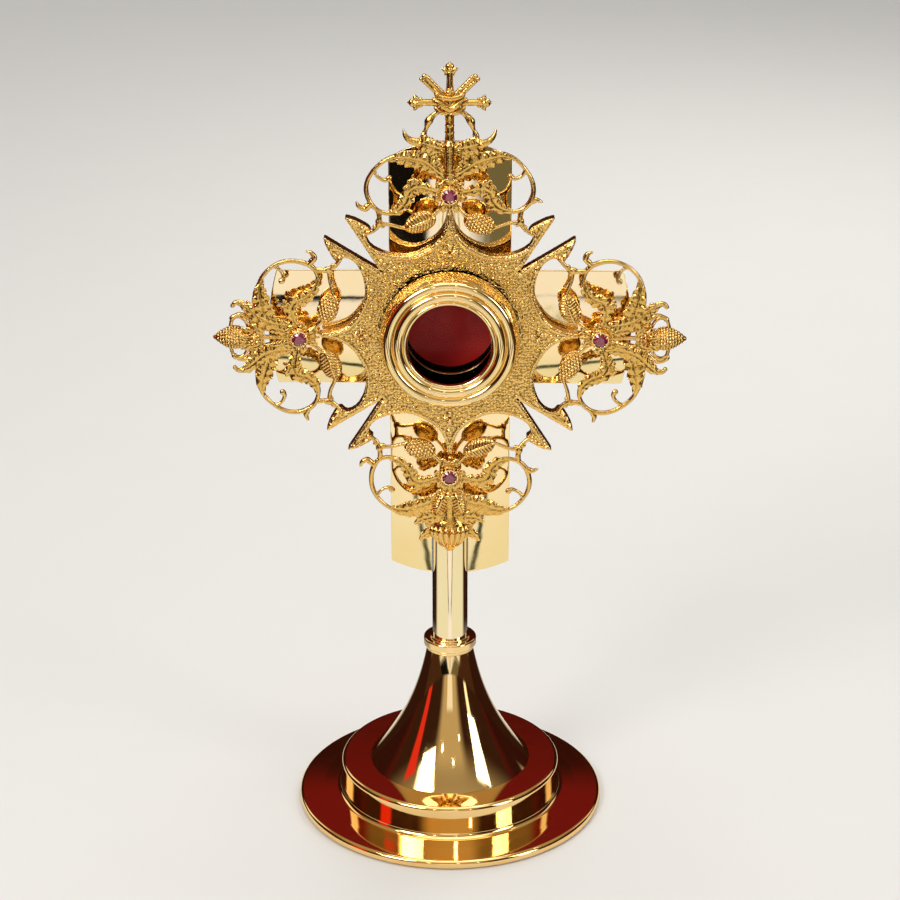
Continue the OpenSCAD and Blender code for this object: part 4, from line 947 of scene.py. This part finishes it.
# ------------------------------------------------------------------ star plate
def build_star():
    src = bpy.data.objects["star_plate"].data
    from mathutils.bvhtree import BVHTree
    from mathutils.kdtree import KDTree
    n = len(src.vertices); co = np.zeros(n * 3); src.vertices.foreach_get("co", co); co = co.reshape(-1, 3) / MM
    polys = [tuple(p.vertices) for p in src.polygons]
    tree = BVHTree.FromPolygons(co.tolist(), polys)
    G = 0.3; k = int(53 / G)
    mask = np.zeros((2 * k + 1, 2 * k + 1), bool)
    for i in range(-k, k + 1):
        for j in range(-k, k + 1):
            x, z = i * G, j * G
            if x * x + z * z < 24.5 ** 2:
                mask[i + k, j + k] = True
            elif max(abs(x), abs(z)) < 52.5:
                mask[i + k, j + k] = tree.ray_cast(Vector((x, -40, HEAD + z)), Vector((0, 1, 0)))[0] is not None
    e = np.zeros_like(mask)
    for sx, sy in ((1, 0), (-1, 0), (0, 1), (0, -1)):
        e |= mask & ~np.roll(np.roll(mask, sx, 0), sy, 1)
    pts = np.argwhere(e); kd = KDTree(len(pts))
    for q, (i, j) in enumerate(pts):
        kd.insert(((i - k) * G, (j - k) * G, 0), q)
    kd.balance()
    bag = Bag(); bag.add(co, polys)
    me = fuse("star", bag, 0.25, 1, 0.4)
    P, N = mesh_arrays(me)
    dist = np.array([kd.find((p[0], p[2] - HEAD, 0))[2] for p in P])
    front = (N[:, 1] < -0.55) & (P[:, 1] < -8.4)
    rr = np.hypot(P[:, 0], P[:, 2] - HEAD)
    flat = np.stack([P[:, 0], np.full(len(P), 3.3), P[:, 2]], 1)
    peb = cells(flat, 1.25, 4)
    fine = cells(flat, 0.7, 9)
    field = np.clip((dist - 1.7) / 0.5, 0, 1)
    bead = np.exp(-((dist - 0.95) / 0.55) ** 2)
    h = 0.40 * bead + field * (0.62 * (0.60 - peb) + 0.26 * (0.55 - fine) + 0.12 * soft_noise(P, 4.0, 2))
    h += (1 - field) * 0.12 * (0.55 - fine)
    # flowers and dots on the four points, small relief buttons along the long spikes
    ang = np.degrees(np.arctan2(P[:, 2] - HEAD, P[:, 0])) % 90
    for base in (0, 90, 180, 270):
        t = math.radians(base); ux, uz = math.cos(t), math.sin(t)
        u = P[:, 0] * ux + (P[:, 2] - HEAD) * uz; v = -P[:, 0] * uz + (P[:, 2] - HEAD) * ux
        for (cu, cv, rad, amp) in ((35.4, 2.0, 0.95, 0.5), (35.4, -2.0, 0.95, 0.5), (33.4, 0, 0.95, 0.45), (37.5, 0, 1.0, 0.5), (41.0, 0, 0.8, 0.35), (43.8, 0, 0.7, 0.3)):
            h += amp * np.exp(-(((u - cu) ** 2 + (v - cv) ** 2) / rad ** 2) ** 1.5)
        h -= 0.45 * np.exp(-((np.hypot(u - 35.4, v) - 0.2) / 0.5) ** 2)
        t = math.radians(base + 45); ux, uz = math.cos(t), math.sin(t)
        u = P[:, 0] * ux + (P[:, 2] - HEAD) * uz; v = np.abs(-P[:, 0] * uz + (P[:, 2] - HEAD) * ux)
        for cu, off, rad, amp in ((53.0, 8.2, 1.0, 0.45), (56.0, 8.0, 1.1, 0.5), (59.2, 7.4, 1.0, 0.45), (61.6, 6.9, 0.8, 0.35), (49.8, 6.0, 1.1, 0.4), (44.5, 5.0, 1.3, 0.35)):
            h += amp * np.exp(-(((u - cu) ** 2 + (v - off) ** 2) / rad ** 2) ** 1.3)
        rib = np.abs((v - 5.4) - (u - 50.0) * 0.12)
        h += 0.3 * np.exp(-(rib / 0.5) ** 2) * np.clip((u - 47) / 3, 0, 1) * np.clip((63 - u) / 2, 0, 1)
    P[:, 1] -= np.where(front, h, 0.0)
    side = (~front) & (np.abs(N[:, 1]) < 0.5)
    P += np.where(side, 0.06 * soft_noise(P, 1.2, 7), 0.0)[:, None] * N
    me.vertices.foreach_set("co", (P * MM).ravel()); me.update(); me.shade_smooth()
    ob = bpy.data.objects.new("star", me); scene.collection.objects.link(ob)
    return ob
finish_piece(build_star(), "frame", "grained_gilt", STAR, "star_plate")

# ------------------------------------------------------------------ floor, light and camera
def floor():
    V, F = [], []
    rings, seg = [0.0, 0.12, 0.25, 0.5, 1.0, 2.0, 4.0, 7.0], 64
    V.append((0, 0, 0))
    for r in rings[1:]:
        for k in range(seg):
            a = 2 * math.pi * k / seg
            V.append((r * math.cos(a), r * math.sin(a), 0))
    for k in range(seg):
        F.append((0, 1 + k, 1 + (k + 1) % seg))
    for i in range(len(rings) - 2):
        for k in range(seg):
            a, b = 1 + i * seg + k, 1 + i * seg + (k + 1) % seg
            F.append((a, a + seg, b + seg, b))
    ob = mesh_obj("floor", V, F, scale=1.0)
    m = Mat("floor_pale")
    g = m.n("ShaderNodeNewGeometry"); sx = m.n("ShaderNodeSeparateXYZ"); m.l(g.outputs["Position"], sx.inputs[0])
    lp = m.n("ShaderNodeLightPath")
    x, y = sx.outputs[0], sx.outputs[1]
    plain = m.principled(Base_Color=m.mix(m.fit(m.noise(0.02, 3), 0, 1), (0.74, 0.73, 0.71), (0.76, 0.75, 0.73)), Roughness=0.7)
    # Painted reflection: glossy rays see the floor glow with a pattern for the gilding to mirror further out, pale in
    # front and behind, dimmer at the sides, a dark line across the pale, and beyond it lit strips between a near-black
    # band and a dull one.
    ay = m.math("ABSOLUTE", y); ax = m.math("ABSOLUTE", x)
    wob = m.fit(m.noise(0.012, 2), -0.04, 0.04, 0.3, 0.7)
    xx = m.math("ADD", x, wob)
    far = m.fit(y, 1.0, 0.0, -0.60, -0.54)
    left = m.fit(xx, 1.0, 0.0, -0.20, -0.165)
    right = m.fit(xx, 0.0, 1.0, 0.15, 0.26)
    wave = m.n("ShaderNodeTexWave"); wave.wave_type = "BANDS"; wave.bands_direction = "X"
    m.l(m.co, wave.inputs["Vector"]); wave.inputs["Scale"].default_value = 0.0105; wave.inputs["Distortion"].default_value = 2.2
    wave.inputs["Detail"].default_value = 3; wave.inputs["Detail Scale"].default_value = 0.3
    thin = m.ramp(wave.outputs["Fac"], [(0.0, (0.10, 0.11, 0.07)), (0.16, (0.5, 0.46, 0.30)), (0.3, (0.92, 0.86, 0.74)), (1.0, (1.1, 1.04, 0.95))])
    mid = m.fit(ax, 1.0, 0.0, 0.07, 0.09)
    strips = m.mix(mid, (0.96, 0.93, 0.98), thin)
    pat = m.mix(left, strips, (0.006, 0.005, 0.004))
    pat = m.mix(right, pat, (0.16, 0.135, 0.07))
    line = m.math("MULTIPLY", m.fit(y, 0.0, 1.0, -0.555, -0.545), m.fit(y, 1.0, 0.0, -0.495, -0.485))
    bright = m.fit(y, 1.0, 0.0, -0.33, -0.20)
    near = m.mix(bright, (0.86, 0.80, 0.58), (0.98, 0.92, 0.80))
    near = m.mix(m.fit(ax, 1.0, 0.0, 0.030, 0.045), near, (0.98, 0.90, 0.86))
    near = m.mix(line, near, (0.08, 0.055, 0.03))
    pat = m.mix(far, near, pat)
    r = m.math("SQRT", m.math("ADD", m.math("MULTIPLY", x, x), m.math("MULTIPLY", y, y)))
    sides = m.math("MULTIPLY", m.fit(m.math("SUBTRACT", ax, m.math("MULTIPLY", ay, 0.55)), 0.0, 1.0, 0.14, 0.22), m.fit(r, 0.0, 1.0, 0.27, 0.33))
    pat = m.mix(sides, pat, (0.06, 0.024, 0.012))
    streak = m.math("ABSOLUTE", m.math("SUBTRACT", m.math("ADD", ax, m.math("MULTIPLY", y, 0.9)), -0.145))
    streak = m.math("MULTIPLY", m.fit(streak, 1.0, 0.0, 0.006, 0.010), m.math("MULTIPLY", m.fit(y, 0.0, 1.0, -0.32, -0.31), m.fit(y, 1.0, 0.0, -0.19, -0.18)))
    pat = m.mix(streak, pat, (0.05, 0.06, 0.03))
    pat = m.mix(m.fit(y, 0.0, 1.0, -0.01, 0.04), pat, (0.030, 0.010, 0.006))
    # Emission that only glossy rays see beyond about 0.11 to 0.17 m from the centre: painted reflection, the floor
    # glows in the gilding though it is no lamp.
    em = m.n("ShaderNodeEmission"); m.put(em.inputs["Color"], pat); em.inputs["Strength"].default_value = 1.0
    use = m.math("MULTIPLY", lp.outputs["Is Glossy Ray"], m.fit(r, 0.0, 1.0, 0.11, 0.17))
    mx = m.n("ShaderNodeMixShader"); m.l(use, mx.inputs[0]); m.l(plain.outputs[0], mx.inputs[1]); m.l(em.outputs[0], mx.inputs[2])
    m.done(mx)
    ob.data.materials.append(m.m)
floor()

def world():
    w = bpy.data.worlds.new("studio"); scene.world = w; w.use_nodes = True
    nt = w.node_tree; nt.nodes.clear()
    N = lambda k: nt.nodes.new(k)
    L = nt.links.new
    tc = N("ShaderNodeTexCoord"); sep = N("ShaderNodeSeparateXYZ"); L(tc.outputs["Generated"], sep.inputs[0])
    lp = N("ShaderNodeLightPath")
    def mth(op, a, b=0.0, c=None):
        x = N("ShaderNodeMath"); x.operation = op
        for i, v in enumerate((a, b) if c is None else (a, b, c)):
            if hasattr(v, "is_linked"): L(v, x.inputs[i])
            else: x.inputs[i].default_value = v
        return x.outputs[0]
    def box_light(cx, cy, cz, half_w, half_h, soft):
        """Soft-edged rectangle of light around a direction."""
        c = unit((cx, cy, cz)); rgt = unit(np.cross((0, 0, 1), c)); up = np.cross(c, rgt)
        def dot(v):
            x = N("ShaderNodeVectorMath"); x.operation = "DOT_PRODUCT"; L(tc.outputs["Generated"], x.inputs[0]); x.inputs[1].default_value = tuple(v)
            return x.outputs["Value"]
        f = dot(c); a = mth("ABSOLUTE", dot(rgt)); b = mth("ABSOLUTE", dot(up))
        def edge(v, h):
            x = N("ShaderNodeMapRange"); x.interpolation_type = "SMOOTHSTEP"; L(v, x.inputs["Value"])
            x.inputs["From Min"].default_value = h - soft; x.inputs["From Max"].default_value = h + soft
            x.inputs["To Min"].default_value = 1; x.inputs["To Max"].default_value = 0
            return x.outputs["Result"]
        m1 = mth("MULTIPLY", edge(a, half_w), edge(b, half_h))
        return mth("MULTIPLY", m1, mth("GREATER_THAN", f, 0.0))
    def addc(base, fac, col):
        x = N("ShaderNodeMix"); x.data_type = "RGBA"; L(fac, x.inputs[0]); L(base, x.inputs[6]) if hasattr(base, "is_linked") else setattr(x.inputs[6], "default_value", (*base, 1))
        x.inputs[7].default_value = (*col, 1)
        return x.outputs[2]
    # gilding sees a warm dim room: pale wall in front, dark flags beside it, deep warm cloth behind,
    # soft boxes at the sides and overhead, and a few small lamps
    def rng(v, a, b):
        x = N("ShaderNodeMapRange"); x.interpolation_type = "SMOOTHSTEP"; L(v, x.inputs["Value"])
        x.inputs["From Min"].default_value = a; x.inputs["From Max"].default_value = b
        return x.outputs["Result"]
    X, Y, Z = sep.outputs[0], sep.outputs[1], sep.outputs[2]
    col = addc((0.035, 0.013, 0.007), rng(Z, 0.42, 0.82), (0.40, 0.31, 0.18))
    col = addc(col, mth("MULTIPLY", rng(Y, 0.05, 0.35), mth("SUBTRACT", 1.0, rng(Z, 0.56, 0.72))), (0.15, 0.009, 0.010))
    col = addc(col, mth("MULTIPLY", rng(Y, 0.05, 0.35), mth("SUBTRACT", 1.0, rng(Z, 0.455, 0.51))), (0.030, 0.006, 0.004))
    for (c, w2, h2, s, k) in (((0.0, -1.0, 0.34), 0.40, 0.40, 0.12, (0.52, 0.41, 0.25)),
                              ((0.0, -1.0, 0.10), 0.15, 0.14, 0.03, (0.96, 0.92, 0.90)),
                              ((-0.97, -0.35, 0.30), 0.10, 0.34, 0.03, (0.75, 0.035, 0.02)),
                              ((-0.62, -0.55, 0.75), 0.13, 0.14, 0.04, (2.6, 2.5, 2.3)),
                              ((0.9, -0.62, 0.42), 0.07, 0.36, 0.025, (1.5, 1.38, 1.15)),
                              ((0.05, -0.4, 1.0), 0.42, 0.12, 0.05, (2.0, 1.95, 1.85)),
                              ((-0.75, 0.7, 0.62), 0.14, 0.22, 0.05, (1.1, 1.0, 0.85)),
                              ((0.8, 0.65, 0.55), 0.10, 0.24, 0.05, (0.9, 0.8, 0.65)),
                              ((-0.28, -1, 0.62), 0.022, 0.022, 0.006, (14, 13.5, 12.5)),
                              ((0.12, -1, 0.78), 0.018, 0.018, 0.006, (14, 13.5, 12.5)),
                              ((0.40, -1, 0.52), 0.018, 0.018, 0.006, (12, 11.5, 10.5)),
                              ((-0.62, -0.2, 0.9), 0.022, 0.022, 0.006, (12, 11.5, 10.5)),
                              ((0.55, 0.15, 0.9), 0.02, 0.02, 0.006, (10, 9.5, 9))):
        col = addc(col, box_light(*c, w2, h2, s), k)
    glossy = N("ShaderNodeBackground"); L(col, glossy.inputs["Color"])
    plain = N("ShaderNodeBackground"); plain.inputs["Color"].default_value = (0.93, 0.925, 0.91, 1); plain.inputs["Strength"].default_value = 0.62
    cam = N("ShaderNodeBackground"); cam.inputs["Color"].default_value = (0.90, 0.895, 0.885, 1); cam.inputs["Strength"].default_value = 1.0
    m1 = N("ShaderNodeMixShader"); L(lp.outputs["Is Glossy Ray"], m1.inputs[0]); L(plain.outputs[0], m1.inputs[1]); L(glossy.outputs[0], m1.inputs[2])
    m2 = N("ShaderNodeMixShader"); L(lp.outputs["Is Camera Ray"], m2.inputs[0]); L(m1.outputs[0], m2.inputs[1]); L(cam.outputs[0], m2.inputs[2])
    out = N("ShaderNodeOutputWorld"); L(m2.outputs[0], out.inputs["Surface"])
world()

def area(name, loc, target, size, power, color):
    d = bpy.data.lights.new(name, "AREA"); d.shape = "RECTANGLE"; d.size, d.size_y = size; d.energy = power; d.color = color
    ob = bpy.data.objects.new(name, d); scene.collection.objects.link(ob)
    ob.location = loc
    ob.rotation_euler = (Vector(target) - Vector(loc)).to_track_quat("-Z", "Y").to_euler()
    ob.visible_glossy = name != "back"
area("key", (-0.75, -0.85, 0.95), (0, 0, 0.15), (0.5, 0.5), 6.5, (1.0, 0.965, 0.91))
area("fill", (0.95, -0.6, 0.6), (0, 0, 0.15), (0.35, 0.6), 2.8, (1.0, 0.97, 0.93))
area("top", (0.0, 0.15, 1.2), (0, 0, 0.1), (0.7, 0.5), 3.6, (1.0, 0.98, 0.96))
area("back", (0.3, 0.95, 0.7), (0, 0, 0.18), (0.5, 0.4), 3.0, (1.0, 0.97, 0.93))

cam_data = bpy.data.cameras.new("camera"); cam_data.lens = 118; cam_data.sensor_width = 36
cam_data.clip_start = 0.02; cam_data.clip_end = 20
cam = bpy.data.objects.new("camera", cam_data); scene.collection.objects.link(cam)
cam.location = (0.0107, -1.108, 0.642)
cam.rotation_euler = (Vector((0.0, 0.0, 0.1605)) - Vector(cam.location)).to_track_quat("-Z", "Y").to_euler()
scene.camera = cam
scene.view_settings.view_transform = "Standard"
scene.view_settings.look = "None"
scene.view_settings.exposure = 0.0
